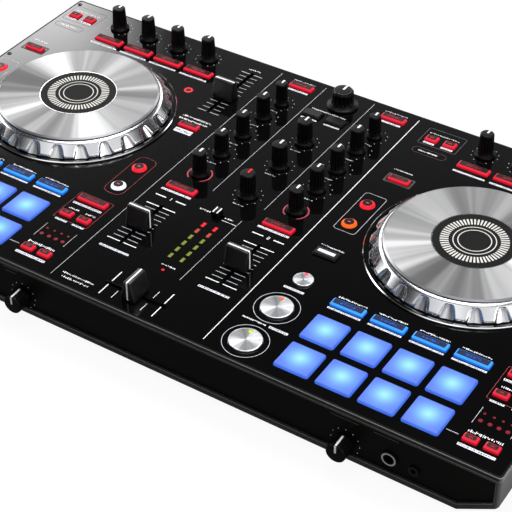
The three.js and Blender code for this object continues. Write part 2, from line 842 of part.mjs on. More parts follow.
function frontEdgeKnob(place) {
  const { x, z } = frontPlace(place);
  const face = frontY + frontPlate.recess;
  const tip = frontY - frontKnob.reach;
  const root = face - knobGap;
  const knob = turnedAlongY(
    [
      [0, tip],
      [frontKnob.capRadius, tip],
      [frontKnob.footRadius, root],
      [shaftRadius, root],
      [shaftRadius, face + frontKnob.shaftLength],
      [0, face + frontKnob.shaftLength],
    ],
    knobSides,
    x,
    z,
  );
  const length = frontKnob.capRadius - indexBar.margin;
  const mark = block(x, tip + indexBar.height, indexBar.width, 2 * indexBar.height, z, z + length);
  const groove = mark.translate([0, -indexBar.height, 0]);
  return cut(knob, [groove]);
}

// Sliders

function faderKnob({ x, y, sideways }) {
  const low = panelTop + faderCap.foot;
  const high = low + faderCap.height;
  const half = faderCap.depth / 2;
  const halfRidge = faderCap.ridge / 2;
  const section = new THREE.Shape([
    new THREE.Vector2(-half, 0),
    new THREE.Vector2(half, 0),
    new THREE.Vector2(half, faderCap.lift),
    new THREE.Vector2(halfRidge, faderCap.height),
    new THREE.Vector2(-halfRidge, faderCap.height),
    new THREE.Vector2(-half, faderCap.lift),
  ]);
  const geometry = new THREE.ExtrudeGeometry(section, { depth: faderCap.width, bevelEnabled: false });
  geometry.translate(0, 0, -faderCap.width / 2);
  geometry.rotateX(Math.PI / 2);
  geometry.rotateZ(Math.PI / 2);
  if (sideways) geometry.rotateZ(Math.PI / 2);
  geometry.translate(x, y, low);
  const [width, depth] = sideways ? [stem.depth, stem.width] : [stem.width, stem.depth];
  const shank = block(x, y, width, depth, potTop + clearance, (low + high) / 2);
  return join([solid(geometry), shank]);
}

function slideSwitchNub({ x, y }) {
  const low = panelTop + knobGap;
  const nub = block(x, y, switchNub.width, switchNub.depth, low, low + switchNub.height);
  const shankTop = low + switchNub.height / 2;
  const shank = block(x, y, switchNub.stemWidth, switchNub.stemDepth, potTop + clearance, shankTop);
  return join([nub, shank]);
}

// Buttons, pads and keys

function transportButton({ x, y, radius }) {
  const flangeTop = panelUnder - clearance;
  const high = panelTop + transport.proud;
  return turned(
    [
      [0, flangeTop - transport.flangeThickness],
      [radius + transport.flange, flangeTop - transport.flangeThickness],
      [radius + transport.flange, flangeTop],
      [radius - clearance, flangeTop],
      [radius - clearance, high - transport.bevel],
      [radius - clearance - transport.bevel, high],
      [0, high],
    ],
    roundSides,
    x,
    y,
  );
}

function padMat({ pads: places }) {
  const top = panelUnder - clearance;
  const low = top - pads.sheet;
  const xs = places.map(({ x }) => x);
  const ys = places.map(({ y }) => y);
  const [left, right] = [Math.min(...xs), Math.max(...xs)];
  const [near, far] = [Math.min(...ys), Math.max(...ys)];
  const width = right - left + pads.width + 2 * pads.margin;
  const depth = far - near + pads.depth + 2 * pads.margin;
  const sheet = block((left + right) / 2, (near + far) / 2, width, depth, low, top);
  const blocks = places.map(({ x, y }) => {
    const shape = traceRounded(new THREE.Shape(), x, y, pads.width, pads.depth, pads.cornerRadius);
    return raised(shape, top - pads.sheet / 2, panelTop + pads.proud, padCornerFacets);
  });
  return join([sheet, ...blocks]);
}

// A key cap that rises from the moulded sheet through its hole in the panel.
function keyCap({ x, y, width, depth, radius }) {
  const low = panelUnder - clearance - keys.sheet / 2;
  const high = panelTop + keys.proud;
  return radius ? cylinder(x, y, radius, low, high, holeSides) : block(x, y, width, depth, low, high);
}

// A flat bar of the moulded sheet between two corners in plan.
function railBetween(x0, x1, y0, y1) {
  const top = panelUnder - clearance;
  return block((x0 + x1) / 2, (y0 + y1) / 2, x1 - x0, y1 - y0, top - keys.sheet, top);
}

// The keys of one deck hang on a moulded frame that runs round the jog's spindle and between the
// pads and the transport buttons.
function deckKeyFrame(deck) {
  const railInner = padsHalfWidth + keys.railGap;
  const railOuter = railInner + keys.railWidth;
  const modeDepth = modeKeys.depth / 2 + pads.margin;
  const effectDepth = effectKeys.depth / 2 + pads.margin;
  const modeY = fromFront(modeKeyY);
  const effectY = fromFront(effectKeyY);
  const nearY = Math.min(...deck.rightKeys.map(({ y }) => y)) - keys.railWidth / 2;
  const half = keys.railWidth / 2;
  const rails = [
    railBetween(deck.x - railOuter, deck.x - railInner, modeY - modeDepth, effectY + effectDepth),
    railBetween(deck.x + railInner, deck.x + railOuter, nearY, effectY + effectDepth),
    railBetween(deck.x - railOuter, deck.x + railOuter, modeY - modeDepth, modeY + modeDepth),
    railBetween(deck.x - railOuter, deck.x + railOuter, effectY - effectDepth, effectY + effectDepth),
    ...deck.leftKeys.map(({ x, y }) => railBetween(x, deck.x - railInner, y - half, y + half)),
    ...deck.rightKeys.map(({ x, y }) => railBetween(deck.x + railInner, x, y - half, y + half)),
  ];
  const [inner, outer] = deck.assignKeys;
  const reachY = inner.y + half;
  rails.push(railBetween(outer.x - half, inner.x + half, inner.y - half, reachY));
  rails.push(railBetween(inner.x - half, inner.x + half, effectY - effectDepth, reachY));
  rails.push(railBetween(inner.x - half, deck.x - railInner, effectY - effectDepth, effectY + effectDepth));
  return join([...rails, ...deck.keys.map(keyCap)]);
}

// The two load keys and the two keys in front of the browse knob, on one sheet that passes
// behind that knob's shaft.
function loadKeyFrame() {
  const [loadLeft, loadRight, browseLeft, browseRight] = mixerLoadKeys;
  const near = fromFront(rows.browse) + shaftRadius + 2 * clearance;
  const rail = railBetween(loadLeft.x, loadRight.x, near, near + browseKeys.rail);
  const branches = [browseLeft, browseRight].map(({ x, y }) =>
    railBetween(x - browseKeys.branch / 2, x + browseKeys.branch / 2, y, near + browseKeys.rail),
  );
  return join([rail, ...branches, ...mixerLoadKeys.map(keyCap)]);
}

function cueKeyFrame() {
  const [left, right] = mixerCueKeys;
  const half = cueKeys.rail / 2;
  return join([railBetween(left.x, right.x, left.y - half, left.y + half), ...mixerCueKeys.map(keyCap)]);
}

// The assembly

const controller = new THREE.Group();
function add(name, made, material) {
  const mesh = new THREE.Mesh(geometryOf(made), material);
  mesh.name = name;
  controller.add(mesh);
}

add("body_frame", bodyFrame(), materials.satinBlack);
add("top_panel", topPanel(), materials.glossBlack);
add("base_plate", basePlate(), materials.satinBlack);
add("front_panel", frontPanel(), materials.satinBlack);
add("rear_connector_plate", rearConnectorPlate(), materials.steel);
add("main_board", mainBoard(), materials.boardGreen);
for (const [name, jack] of Object.entries(frontJacks)) add(name, jackSocket(jack), materials.steel);
for (const [row, y] of [["front", frontY + foot.insetY], ["rear", rearY - foot.insetY]])
  for (const [side, direction] of [["left", -1], ["right", 1]])
    add(`foot_${row}_${side}`, rubberFoot(direction * (chamferX - foot.inset), y), materials.rubber);

for (const deck of decks) {
  const y = fromFront(jogY);
  add(`${deck.side}_jog_wheel`, jogWheel(deck.x, y), materials.chrome);
  add(`${deck.side}_jog_plate`, jogPlateDisc(deck.x, y), materials.aluminium);
  add(`${deck.side}_jog_spindle`, jogSpindle(deck.x, y), materials.steel);
  add(`${deck.side}_pad_mat`, padMat(deck), materials.padBlue);
  add(`${deck.side}_key_frame`, deckKeyFrame(deck), materials.keyRed);
  for (const button of deck.buttons) add(button.name, transportButton(button), materials.aluminium);
}
for (const knob of knobs) add(knob.name, panelKnob(knob), materials.knobBlack);
for (const [name, place] of Object.entries(frontKnobs))
  add(name, frontEdgeKnob(place), materials.knobBlack);
for (const fader of faders) add(fader.name, faderKnob(fader), materials.knobBlack);
add("centre_slide_switch", slideSwitchNub(slideSwitch), materials.keyDark);
add("load_key_frame", loadKeyFrame(), materials.keyRed);
add("cue_key_frame", cueKeyFrame(), materials.keyRed);

export default controller;
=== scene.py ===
# %% [markdown]
# The frame comes first. It holds the solid pieces of the controller at their real size, and each
# finished piece made below takes its place from them. Nothing in the frame is moved.

# %% The frame
import json
import math

import bmesh
import bpy
import numpy as np
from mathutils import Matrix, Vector
from mathutils.geometry import delaunay_2d_cdt


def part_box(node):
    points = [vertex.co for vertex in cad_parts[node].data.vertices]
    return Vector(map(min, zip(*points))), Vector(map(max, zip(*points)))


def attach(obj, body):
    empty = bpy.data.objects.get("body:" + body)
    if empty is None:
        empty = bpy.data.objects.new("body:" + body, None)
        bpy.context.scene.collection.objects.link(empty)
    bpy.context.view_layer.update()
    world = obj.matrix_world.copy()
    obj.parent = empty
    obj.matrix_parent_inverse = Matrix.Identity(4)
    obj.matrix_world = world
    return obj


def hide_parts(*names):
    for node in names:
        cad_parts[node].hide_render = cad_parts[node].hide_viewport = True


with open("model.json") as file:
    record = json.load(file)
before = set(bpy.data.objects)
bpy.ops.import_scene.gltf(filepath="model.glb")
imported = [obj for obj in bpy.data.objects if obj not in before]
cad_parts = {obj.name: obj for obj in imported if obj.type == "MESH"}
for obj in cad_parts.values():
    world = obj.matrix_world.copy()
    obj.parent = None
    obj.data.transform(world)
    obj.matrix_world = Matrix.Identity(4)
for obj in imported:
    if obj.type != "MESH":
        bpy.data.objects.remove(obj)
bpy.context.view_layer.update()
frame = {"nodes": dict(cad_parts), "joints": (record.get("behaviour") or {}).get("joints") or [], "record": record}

print("nodes in the frame:", len(frame["nodes"]))

# %% [markdown]
# All sizes are written in millimetres, as a maker would, and turned to metres only when a mesh is
# made. The places of the case, the decks and the controls are read from the frame's boxes.

# %% Measures
MM = 0.001
PANEL_THICKNESS = 3.0
GAP = 0.3  # running gap round keys, pads and buttons


def box_mm(node):
    """The lowest and the highest corner of a frame node, in millimetres."""
    low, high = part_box(node)
    return np.array(low) / MM, np.array(high) / MM


def middle(node):
    """The middle of a node's box, in millimetres."""
    low, high = box_mm(node)
    return (low + high) / 2


CASE_LOW, CASE_HIGH = box_mm("body_frame")
FRONT, REAR, HALF_WIDTH = CASE_LOW[1], CASE_HIGH[1], CASE_HIGH[0]
PANEL_UNDER = box_mm("top_panel")[0][2]
PANEL_TOP = PANEL_UNDER + PANEL_THICKNESS
DECKS = {side: middle(side + "_jog_wheel")[:2] for side in ("left", "right")}
print("panel face at", round(PANEL_TOP, 2), "mm, decks at", {k: v.round(1) for k, v in DECKS.items()})

# %% [markdown]
# Almost every piece here is one of two kinds of surface. A loft joins a stack of closed rings, each
# a little larger or smaller than the last: keys, pads, frames and printed marks are lofts. A
# revolved profile is a loft whose rings are circles: knobs, discs and the jog wheels. Both are
# worked out as whole arrays of points, so a rounded edge is just a few more rings.

# %% Lofts


def loft(rings, closed=False):
    """Joins neighbouring rings of the same count by four-sided faces.

    Ring i, point j meets ring i, point j+1 and the same two of ring i+1. An open stack is closed by
    one flat face at each end, and a closed stack joins its last ring to its first."""
    rings = np.asarray(rings, float)
    count, points, _ = rings.shape
    ring = np.arange(count if closed else count - 1)[:, None]
    step = np.arange(points)[None, :]
    after = (step + 1) % points
    low, high = ring * points, ((ring + 1) % count) * points
    faces = np.stack([low + step, low + after, high + after, high + step], -1).reshape(-1, 4).tolist()
    if not closed:
        faces.append(list(range(points - 1, -1, -1)))
        faces.append(list(range((count - 1) * points, count * points)))
    return rings.reshape(-1, 3), faces


def soften(points, radius, steps=4, closed=False):
    """Rounds the corners of a line of points.

    Each corner is replaced by a quadratic curve that leaves its two sides at the radius, or at
    almost half of a side that is shorter than two radii."""
    points = np.asarray(points, float)
    radius = np.broadcast_to(radius, len(points))
    s = np.linspace(0, 1, steps + 1)[:, None]
    before, after = np.roll(points, 1, 0), np.roll(points, -1, 0)
    out = []
    for i, corner in enumerate(points):
        if not closed and i in (0, len(points) - 1):
            out.append(corner[None])
            continue
        back, on = before[i] - corner, after[i] - corner
        long_back, long_on = np.linalg.norm(back), np.linalg.norm(on)
        reach = min(radius[i], 0.49 * long_back, 0.49 * long_on)
        start, end = corner + back / long_back * reach, corner + on / long_on * reach
        out.append((1 - s) ** 2 * start + 2 * s * (1 - s) * corner + s**2 * end)
    return np.concatenate(out)


def fill_in(profile, gap, upright=False):
    """Adds points on the stretches of a profile, so that they stand about a gap apart.

    A stretch is measured along its length, or by its height alone when upright is set."""
    filled = [profile[:1]]
    for a, b in zip(profile[:-1], profile[1:]):
        length = abs(b[1] - a[1]) if upright else np.linalg.norm(b - a)
        count = max(1, int(length / gap))
        filled.append(a + (b - a) * np.linspace(0, 1, count + 1)[1:, None])
    return np.concatenate(filled)


def revolve(profile, sides, x=0.0, y=0.0, wave=None, closed=False):
    """Carries a profile of (radius, height) points round an upright axis at (x, y).

    A point is (x + r cos a, y + r sin a, z). A wave function of (angle, height) multiplies r. A
    closed profile is joined to itself, which makes a ring."""
    profile = np.asarray(profile, float)
    angle = np.linspace(0, 2 * np.pi, sides, endpoint=False)[None, :]
    r, z = profile[:, :1], np.repeat(profile[:, 1:], sides, 1)
    if wave is not None:
        r = r * wave(angle, z)
    return loft(np.stack([x + r * np.cos(angle), y + r * np.sin(angle), z], -1), closed)


def ring_band(inner, outer, low, high, sides, x, y):
    """A flat ring: a small rectangle of (radius, height) carried round the axis."""
    section = [(outer, low), (outer, high), (inner, high), (inner, low)]
    return revolve(section, sides, x, y, closed=True)


def arc_band(inner, outer, low, high, start, end, x, y, steps=24):
    """Part of a flat ring from one angle to another, with its two ends closed."""
    angle = np.linspace(start, end, steps)
    corners = np.array([[inner, low], [inner, high], [outer, high], [outer, low]])
    rings = [
        np.stack([x + corners[:, 0] * np.cos(a), y + corners[:, 0] * np.sin(a), corners[:, 1]], -1)
        for a in angle
    ]
    return loft(rings)


def rounded_rectangle(width, depth, radius, steps=4):
    """Points of a rectangle with round corners, anticlockwise, round the origin.

    Each corner is a quarter circle of the radius round a point that far from both sides."""
    radius = max(min(radius, width / 2, depth / 2), 0.01)
    quarter = np.linspace(0, np.pi / 2, steps + 1)
    angle = (np.arange(4)[:, None] * np.pi / 2 + quarter).ravel()
    corner_x = np.repeat(np.array([1, -1, -1, 1]) * (width / 2 - radius), steps + 1)
    corner_y = np.repeat(np.array([1, 1, -1, -1]) * (depth / 2 - radius), steps + 1)
    return np.stack([corner_x + radius * np.cos(angle), corner_y + radius * np.sin(angle)], -1)


def circle(radius, sides=32):
    """Points of a circle round the origin, anticlockwise."""
    angle = np.linspace(0, 2 * np.pi, sides, endpoint=False)
    return np.stack([radius * np.cos(angle), radius * np.sin(angle)], -1)


def lift(shape, x, y, z):
    """A plan outline moved to (x, y) at height z."""
    return np.column_stack([shape[:, 0] + x, shape[:, 1] + y, np.full(len(shape), z)])


def slab(shape, x, y, low, high):
    """A plan outline at (x, y), carried from one height up to another."""
    return loft([lift(shape, x, y, low), lift(shape, x, y, high)])


def rounded_block(x, y, width, depth, radius, profile, steps=4):
    """A loft of round-cornered rectangles, one for each (inset, height) of the profile."""
    rings = [
        lift(rounded_rectangle(width - 2 * inset, depth - 2 * inset, radius - inset, steps), x, y, z)
        for inset, z in profile
    ]
    return loft(rings)


def round_edge(low, high, edge, steps=4):
    """The (inset, height) profile of an upright side whose top edge is a quarter circle."""
    angle = np.linspace(0, np.pi / 2, steps + 1)
    inset, height = edge * (1 - np.cos(angle)), high - edge * (1 - np.sin(angle))
    return np.concatenate([[[0.0, low]], np.stack([inset, height], -1)])


def line_frame(outer, inner, x, y, low, high):
    """A printed outline: the flat band between two outlines that have as many points."""
    corners = ((outer, low), (outer, high), (inner, high), (inner, low))
    return loft([lift(shape, x, y, z) for shape, z in corners], closed=True)


# %% [markdown]
# A piece joins several such surfaces into one mesh, each with its own finish. Edges sharper than a
# set angle stay crisp, and the rest is shaded smooth.

# %% Pieces
made_pieces = {}


def new_object(name, data):
    """A new object in the scene, at the origin."""
    made = bpy.data.objects.new(name, data)
    bpy.context.scene.collection.objects.link(made)
    return made


def piece(name, parts, body, replaces=(), angle=32, weld=0.0):
    """Joins parts of (points in mm, faces, material[, uv]) into one object that rides on a body.

    Points closer than weld are made one, and the faces of every closed part are turned outwards."""
    points, faces, kinds, uvs, materials = [], [], [], [], []
    offset = 0
    for part in parts:
        (shell, material), uv = part[:2], part[2] if len(part) > 2 else None
        verts, polygons = shell
        if material not in materials:
            materials.append(material)
        points.append(verts)
        uvs.append(np.zeros((len(verts), 2)) if uv is None else uv)
        faces.extend([[v + offset for v in polygon] for polygon in polygons])
        kinds.extend([materials.index(material)] * len(polygons))
        offset += len(verts)
    mesh = bpy.data.meshes.new(name)
    mesh.from_pydata((np.concatenate(points) * MM).tolist(), [], faces)
    for material in materials:
        mesh.materials.append(material)
    mesh.polygons.foreach_set("material_index", kinds)
    layer = mesh.uv_layers.new(name="UVMap")
    corner = np.zeros(len(mesh.loops), np.int32)
    mesh.loops.foreach_get("vertex_index", corner)
    layer.data.foreach_set("uv", np.concatenate(uvs)[corner].astype(np.float32).ravel())
    work = bmesh.new()
    work.from_mesh(mesh)
    if weld:
        bmesh.ops.remove_doubles(work, verts=work.verts, dist=weld * MM)
    bmesh.ops.recalc_face_normals(work, faces=work.faces)
    work.to_mesh(mesh)
    work.free()
    mesh.shade_smooth()
    mesh.set_sharp_from_angle(angle=math.radians(angle))
    mesh.update()
    made = new_object(name, mesh)
    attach(made, body)
    if replaces:
        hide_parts(*replaces)
    made_pieces[name] = len(faces)
    return made


# %% [markdown]
# Finishes. Each material is one real thing made one real way. Colours are written as sRGB hex, as
# in a paint program, and turned to the linear values that light adds up in. Patterns are sized in
# millimetres on Object coordinates, which are metres here, so a scale is 1000 over the pattern's
# size.

# %% Material helpers


def linear(code):
    """An sRGB hex colour as linear RGBA: above 0.04045, ((c + 0.055) / 1.055) to the power 2.4."""
    c = np.array([int(code[i : i + 2], 16) for i in (1, 3, 5)]) / 255
    rgb = np.where(c <= 0.04045, c / 12.92, ((c + 0.055) / 1.055) ** 2.4)
    return (*rgb.tolist(), 1.0)


def per_mm(size):
    """The texture scale that makes a pattern repeat about every size millimetres."""
    return 1 / (size * MM)


def add(tree, kind, inputs=None, **settings):
    """Adds a node, sets its settings, and links or sets its inputs by name or number."""
    made = tree.nodes.new(kind)
    for key, value in settings.items():
        setattr(made, key, value)
    for key, value in (inputs or {}).items():
        if isinstance(value, bpy.types.NodeSocket):
            tree.links.new(value, made.inputs[key])
        else:
            made.inputs[key].default_value = value
    return made


def noise(tree, inputs, **settings):
    """A noise node's value."""
    return add(tree, "ShaderNodeTexNoise", inputs, **settings).outputs["Fac"]


def maths(tree, operation, first, second):
    """The result of one arithmetic node."""
    return add(tree, "ShaderNodeMath", {0: first, 1: second}, operation=operation).outputs["Value"]


def vector(tree, operation, inputs, output="Vector"):
    """One result of a vector node."""
    return add(tree, "ShaderNodeVectorMath", inputs, operation=operation).outputs[output]


def smooth_step(tree, value, low, high, start=0.0, end=1.0):
    """A smooth step from start to end while a value goes from low to high."""
    inputs = {"Value": value, "From Min": low, "From Max": high, "To Min": start, "To Max": end}
    return add(tree, "ShaderNodeMapRange", inputs, interpolation_type="SMOOTHSTEP").outputs["Result"]


def finish(name, colour, roughness, metallic=0.0, ior=None, specular=None):
    """A material with one Principled shader, its tree and that shader."""
    material = bpy.data.materials.new(name)
    material.use_nodes = True
    shader = material.node_tree.nodes["Principled BSDF"]
    inputs = {"Base Color": linear(colour), "Roughness": roughness, "Metallic": metallic}
    inputs |= {"IOR": ior, "Specular IOR Level": specular}
    for key, value in inputs.items():
        if value is not None:
            shader.inputs[key].default_value = value
    return material, material.node_tree, shader


def vary_roughness(tree, shader, value, low, high):
    """Sets a shader's roughness between two limits by a value that goes from 0 to 1."""
    spread = add(tree, "ShaderNodeMapRange", {"Value": value, "To Min": low, "To Max": high})
    tree.links.new(spread.outputs["Result"], shader.inputs["Roughness"])


def grain(tree, shader, size, depth, spread=None):
    """Gives a shader a fine bump of the size and depth in mm, and varies its roughness with it."""
    place = add(tree, "ShaderNodeTexCoord").outputs["Object"]
    value = noise(tree, {"Vector": place, "Scale": per_mm(size), "Detail": 3.0})
    bump = add(tree, "ShaderNodeBump", {"Height": value, "Strength": 1.0, "Distance": depth * MM})
    tree.links.new(bump.outputs["Normal"], shader.inputs["Normal"])
    if spread:
        vary_roughness(tree, shader, value, *spread)


def grained(name, colour, roughness, size, depth, metallic=0.0, ior=None, specular=None, spread=None):
    """A finish with a grain, and nothing else to it."""
    material, tree, shader = finish(name, colour, roughness, metallic, ior, specular)
    grain(tree, shader, size, depth, spread)
    return material


# %% [markdown]
# The top panel is black acrylic with a polished face. It mirrors what stands on it, and only very
# slow waves in the sheet and a trace of dust keep the mirror from looking like glass.

# %% Plastics
ACRYLIC = grained("polished_black_acrylic", "#060607", 0.06, 9.0, 0.002, ior=1.49, spread=(0.045, 0.085))
ABS = grained("spark_eroded_black_abs", "#1e1e1d", 0.5, 0.9, 0.03, ior=1.5, spread=(0.42, 0.58))
# Light grey on rounded edges: a painted highlight, the thin line of light along the case's edges and the panel's
# front and right bevel.
PAINTED_HIGHLIGHT_ABS = grained("rubbed_abs_edge", "#6e6e6c", 0.38, 0.9, 0.01, ior=1.5)
FRONT_ABS = grained("matt_black_front_sheet", "#080807", 0.5, 1.2, 0.02, ior=1.4, specular=0.12)
KNOB = grained(
    "soft_touch_black_knob", "#080808", 0.34, 0.7, 0.02, ior=1.45, specular=0.1, spread=(0.3, 0.4)
)
CAP_PLASTIC = grained(
    "polished_black_cap", "#101011", 0.3, 0.8, 0.01, ior=1.49, specular=0.4, spread=(0.25, 0.35)
)
BLACK_RIM = grained("matt_black_rim", "#0a0a0a", 0.6, 0.9, 0.02, ior=1.5, specular=0.06)
LABEL = grained("matt_black_label", "#060606", 0.5, 0.6, 0.01, ior=1.45, specular=0.08)
RUBBER = grained("black_foot_rubber", "#161616", 0.85, 0.5, 0.05, ior=1.5)
BOARD = grained("green_solder_mask", "#1d4a31", 0.5, 3.0, 0.02, ior=1.5)

# %% [markdown]
# Printed marks are screen-printed ink, a few hundredths of a millimetre thick. They are made here
# as real raised marks, so that they stay sharp from any distance.


# %% Inks
def ink(name, colour):
    """Screen ink: matt, slightly uneven."""
    return grained(name, colour, 0.55, 0.5, 0.01, ior=1.5)


WHITE_INK = ink("white_screen_ink", "#f4f4f6")
GREY_INK = ink("light_grey_screen_ink", "#c8c8d0")
STRIP_INK = ink("strip_screen_ink", "#e2e2ec")
DIM_INK = ink("dim_grey_screen_ink", "#56565a")
RED_INK = ink("red_screen_ink", "#8c1820")
DIM_RED_INK = ink("dim_red_screen_ink", "#4a1418")
LABEL_INK = ink("bone_screen_ink", "#cfcdc8")
ARC_INK = ink("crimson_screen_ink", "#b0304a")
BLACK_INK = ink("black_screen_ink", "#101012")


# %% [markdown]
# The keys are cast in tinted translucent plastic and lit from below. The light leaves through
# their sides and through the bevelled edge round the top, while the top itself carries a dark
# print. So a key has a lit side, a lit edge, a dark top and a lit mark on it. The edge glows
# lighter and paler than the side: a painted highlight on the lamp's glow.


# %% Lit plastics
def glowing(name, colour, glow, strength, roughness=0.3):
    """Tinted translucent plastic with a lamp behind it: its own colour, and a steady glow."""
    material, tree, shader = finish(name, colour, roughness, ior=1.49, specular=0.15)
    shader.inputs["Emission Color"].default_value = linear(glow)
    shader.inputs["Emission Strength"].default_value = strength
    grain(tree, shader, 2.0, 0.01)
    return material


RED_SIDE = glowing("lit_red_key_side", "#7a0c16", "#e01828", 0.6)
# The edge's glow is paler and stronger than the side's: a painted highlight on the bevel.
RED_EDGE_GLOW_AND_HIGHLIGHT = glowing("lit_red_key_edge", "#8c1020", "#f8304a", 0.66)
RED_TOP = glowing("dark_red_key_top", "#0c0304", "#a01018", 0.03, 0.5)
RED_PRINT = glowing("lit_red_key_print", "#500a12", "#e81c2a", 0.42)
BLUE_SIDE = glowing("lit_blue_key_side", "#124a98", "#1c74f0", 0.8)
# The edge's glow is paler and stronger than the side's: a painted highlight on the bevel.
BLUE_EDGE_GLOW_AND_HIGHLIGHT = glowing("lit_blue_key_edge", "#1a5fb0", "#46aaff", 0.8)
BLUE_TOP = glowing("navy_key_top", "#04081a", "#1238b0", 0.12, 0.5)
BLUE_PRINT = glowing("lit_blue_key_print", "#10307a", "#2a78f0", 0.6)
BLACK_KEY = glowing("unlit_black_key", "#090909", "#000000", 0.0, 0.45)
ORANGE_LAMP = glowing("lit_orange_key", "#a03808", "#ff6a1c", 0.8)
WHITE_LAMP = glowing("lit_white_key", "#b8bcc8", "#f2f6ff", 0.9)
RED_LAMP = glowing("lit_red_lamp", "#a00f1c", "#ff2030", 0.9)
DIM_RED_LAMP = glowing("dim_red_lamp", "#500a12", "#c0142a", 0.35)
GREEN_LAMP = glowing("lit_olive_lamp", "#3a4010", "#8f9e3a", 0.7)
SALMON_LAMP = glowing("lit_salmon_lamp", "#602018", "#d0583c", 0.7)
YELLOW_LAMP = glowing("lit_yellow_green_lamp", "#6a7010", "#c8ee30", 0.9)
PINK_LAMP = glowing("lit_pink_lamp", "#902038", "#ff5a78", 0.9)
DARK_CENTRE = glowing("dark_round_key_centre", "#120405", "#480a10", 0.08)
# side, bevelled edge with its painted highlight, top and print of a key
KEY_FINISHES = {
    "red": (RED_SIDE, RED_EDGE_GLOW_AND_HIGHLIGHT, RED_TOP, RED_PRINT),
    "blue": (BLUE_SIDE, BLUE_EDGE_GLOW_AND_HIGHLIGHT, BLUE_TOP, BLUE_PRINT),
    "black": (BLACK_KEY, BLACK_KEY, BLACK_KEY, GREY_INK),
}

# %% [markdown]
# A pad is milky silicone over one lamp. The glow is strongest above the lamp and falls off towards
# the edges, where the silicone is thickest along the line of sight and its blue is deepest. The
# pad's own UV map runs from 0 to 1 across it, so the fall-off is a distance from its middle.

# %% Pad silicone
PAD_GLOW = ((0.0, "#a8f8ff"), (0.1, "#98ecff"), (0.26, "#6cb4ff"), (0.44, "#4c80f8"), (0.62, "#3f6ce8"))
PAD, tree, shader = finish("lit_blue_silicone", "#14244e", 0.48, ior=1.43)
place = add(tree, "ShaderNodeTexCoord").outputs["UV"]
centred = vector(tree, "SUBTRACT", {0: place, 1: (0.5, 0.52, 0.0)})
ramp = add(tree, "ShaderNodeValToRGB", {"Fac": vector(tree, "LENGTH", {0: centred}, "Value")})
ramp.color_ramp.interpolation = "B_SPLINE"
while len(ramp.color_ramp.elements) < len(PAD_GLOW):
    ramp.color_ramp.elements.new(0.5)
for element, (position, colour) in zip(ramp.color_ramp.elements, PAD_GLOW):
    element.position = position
    element.color = linear(colour)
tree.links.new(ramp.outputs["Color"], shader.inputs["Emission Color"])
shader.inputs["Emission Strength"].default_value = 0.9
print("pad finish made")

# %% [markdown]
# The jog plate is aluminium faced on a lathe. The tool leaves thousands of circular grooves, and
# light slides along them into bright fans that point at the axis. A shader with a strong
# anisotropy whose grain runs round the disc gives such fans, and its colour is also painted
# lighter and darker by the angle round the axis: painted fans of reflection. The disc's UV map
# holds its plan, so the way round the axis at (u, v) is (-v, u), and the angle is the same in
# every position.


# %% Metals
GROOVE_SCALE, GROOVE_SPREAD = 240.0, 0.008


def turned_metal(name, colour, roughness, anisotropy, contrast):
    """Lathe-faced metal: the grain runs round the axis, and painted fans of reflection make the colour lighter and
    darker with the angle.
    """
    material, tree, shader = finish(name, colour, roughness, 1.0)
    shader.inputs["Anisotropic"].default_value = anisotropy
    plan = add(tree, "ShaderNodeTexCoord").outputs["UV"]
    split = add(tree, "ShaderNodeSeparateXYZ", {"Vector": plan}).outputs
    minus = maths(tree, "MULTIPLY", split["Y"], -1.0)
    around = add(tree, "ShaderNodeCombineXYZ", {"X": minus, "Y": split["X"]}).outputs["Vector"]
    spaces = {"vector_type": "VECTOR", "convert_from": "OBJECT", "convert_to": "WORLD"}
    turned = add(tree, "ShaderNodeVectorTransform", {"Vector": around}, **spaces).outputs["Vector"]
    tree.links.new(vector(tree, "NORMALIZE", {0: turned}), shader.inputs["Tangent"])
    outwards = vector(tree, "NORMALIZE", {0: plan})
    # painted reflection: a noise of the way out from the axis darkens the colour in fans
    fans = noise(tree, {"Vector": outwards, "Scale": 1.6, "Detail": 3.0, "Roughness": 0.55})
    shade = smooth_step(tree, fans, 0.38, 0.62, contrast, 1.0)
    tint = vector(tree, "SCALE", {0: linear(colour)[:3], "Scale": shade})
    tree.links.new(tint, shader.inputs["Base Color"])
    away = vector(tree, "LENGTH", {0: plan}, "Value")
    grooves = noise(tree, {"W": away, "Scale": GROOVE_SCALE}, noise_dimensions="1D")
    vary_roughness(tree, shader, grooves, roughness - GROOVE_SPREAD, roughness + GROOVE_SPREAD)
    return material


# Both metals carry painted fans of reflection in their colour.
SPUN = turned_metal("lathe_faced_aluminium", "#b8b8b9", 0.42, 0.85, 0.3)
SPUN_BUTTON = turned_metal("turned_aluminium_button", "#c8c9cc", 0.3, 0.7, 0.6)
CHROME = grained("satin_chrome_plated_abs", "#c4c5c8", 0.2, 6.0, 0.004, 1.0, spread=(0.17, 0.24))
# Bright metal: the diamond-cut label edge and jack ring, and also a painted highlight on the jog collars' chamfers
# and the browse knob's cap.
BRIGHT_EDGE = finish("diamond_cut_edge", "#e6e7ea", 0.12, 1.0)[0]
CUT_EDGE = finish("turned_plate_edge", "#8a8b8e", 0.35, 1.0)[0]
DARK_STEEL = grained("black_oxide_steel", "#2a2a2c", 0.35, 1.0, 0.01, 1.0)
STEEL = grained("nickel_plated_steel", "#a9abae", 0.28, 1.5, 0.01, 1.0, spread=(0.22, 0.38))
print("materials:", len(bpy.data.materials))

# %% [markdown]
# The camera stands where the photograph was taken from: to the right of the front edge, and
# well above the panel. Its lens is long, so the sides stay almost parallel.

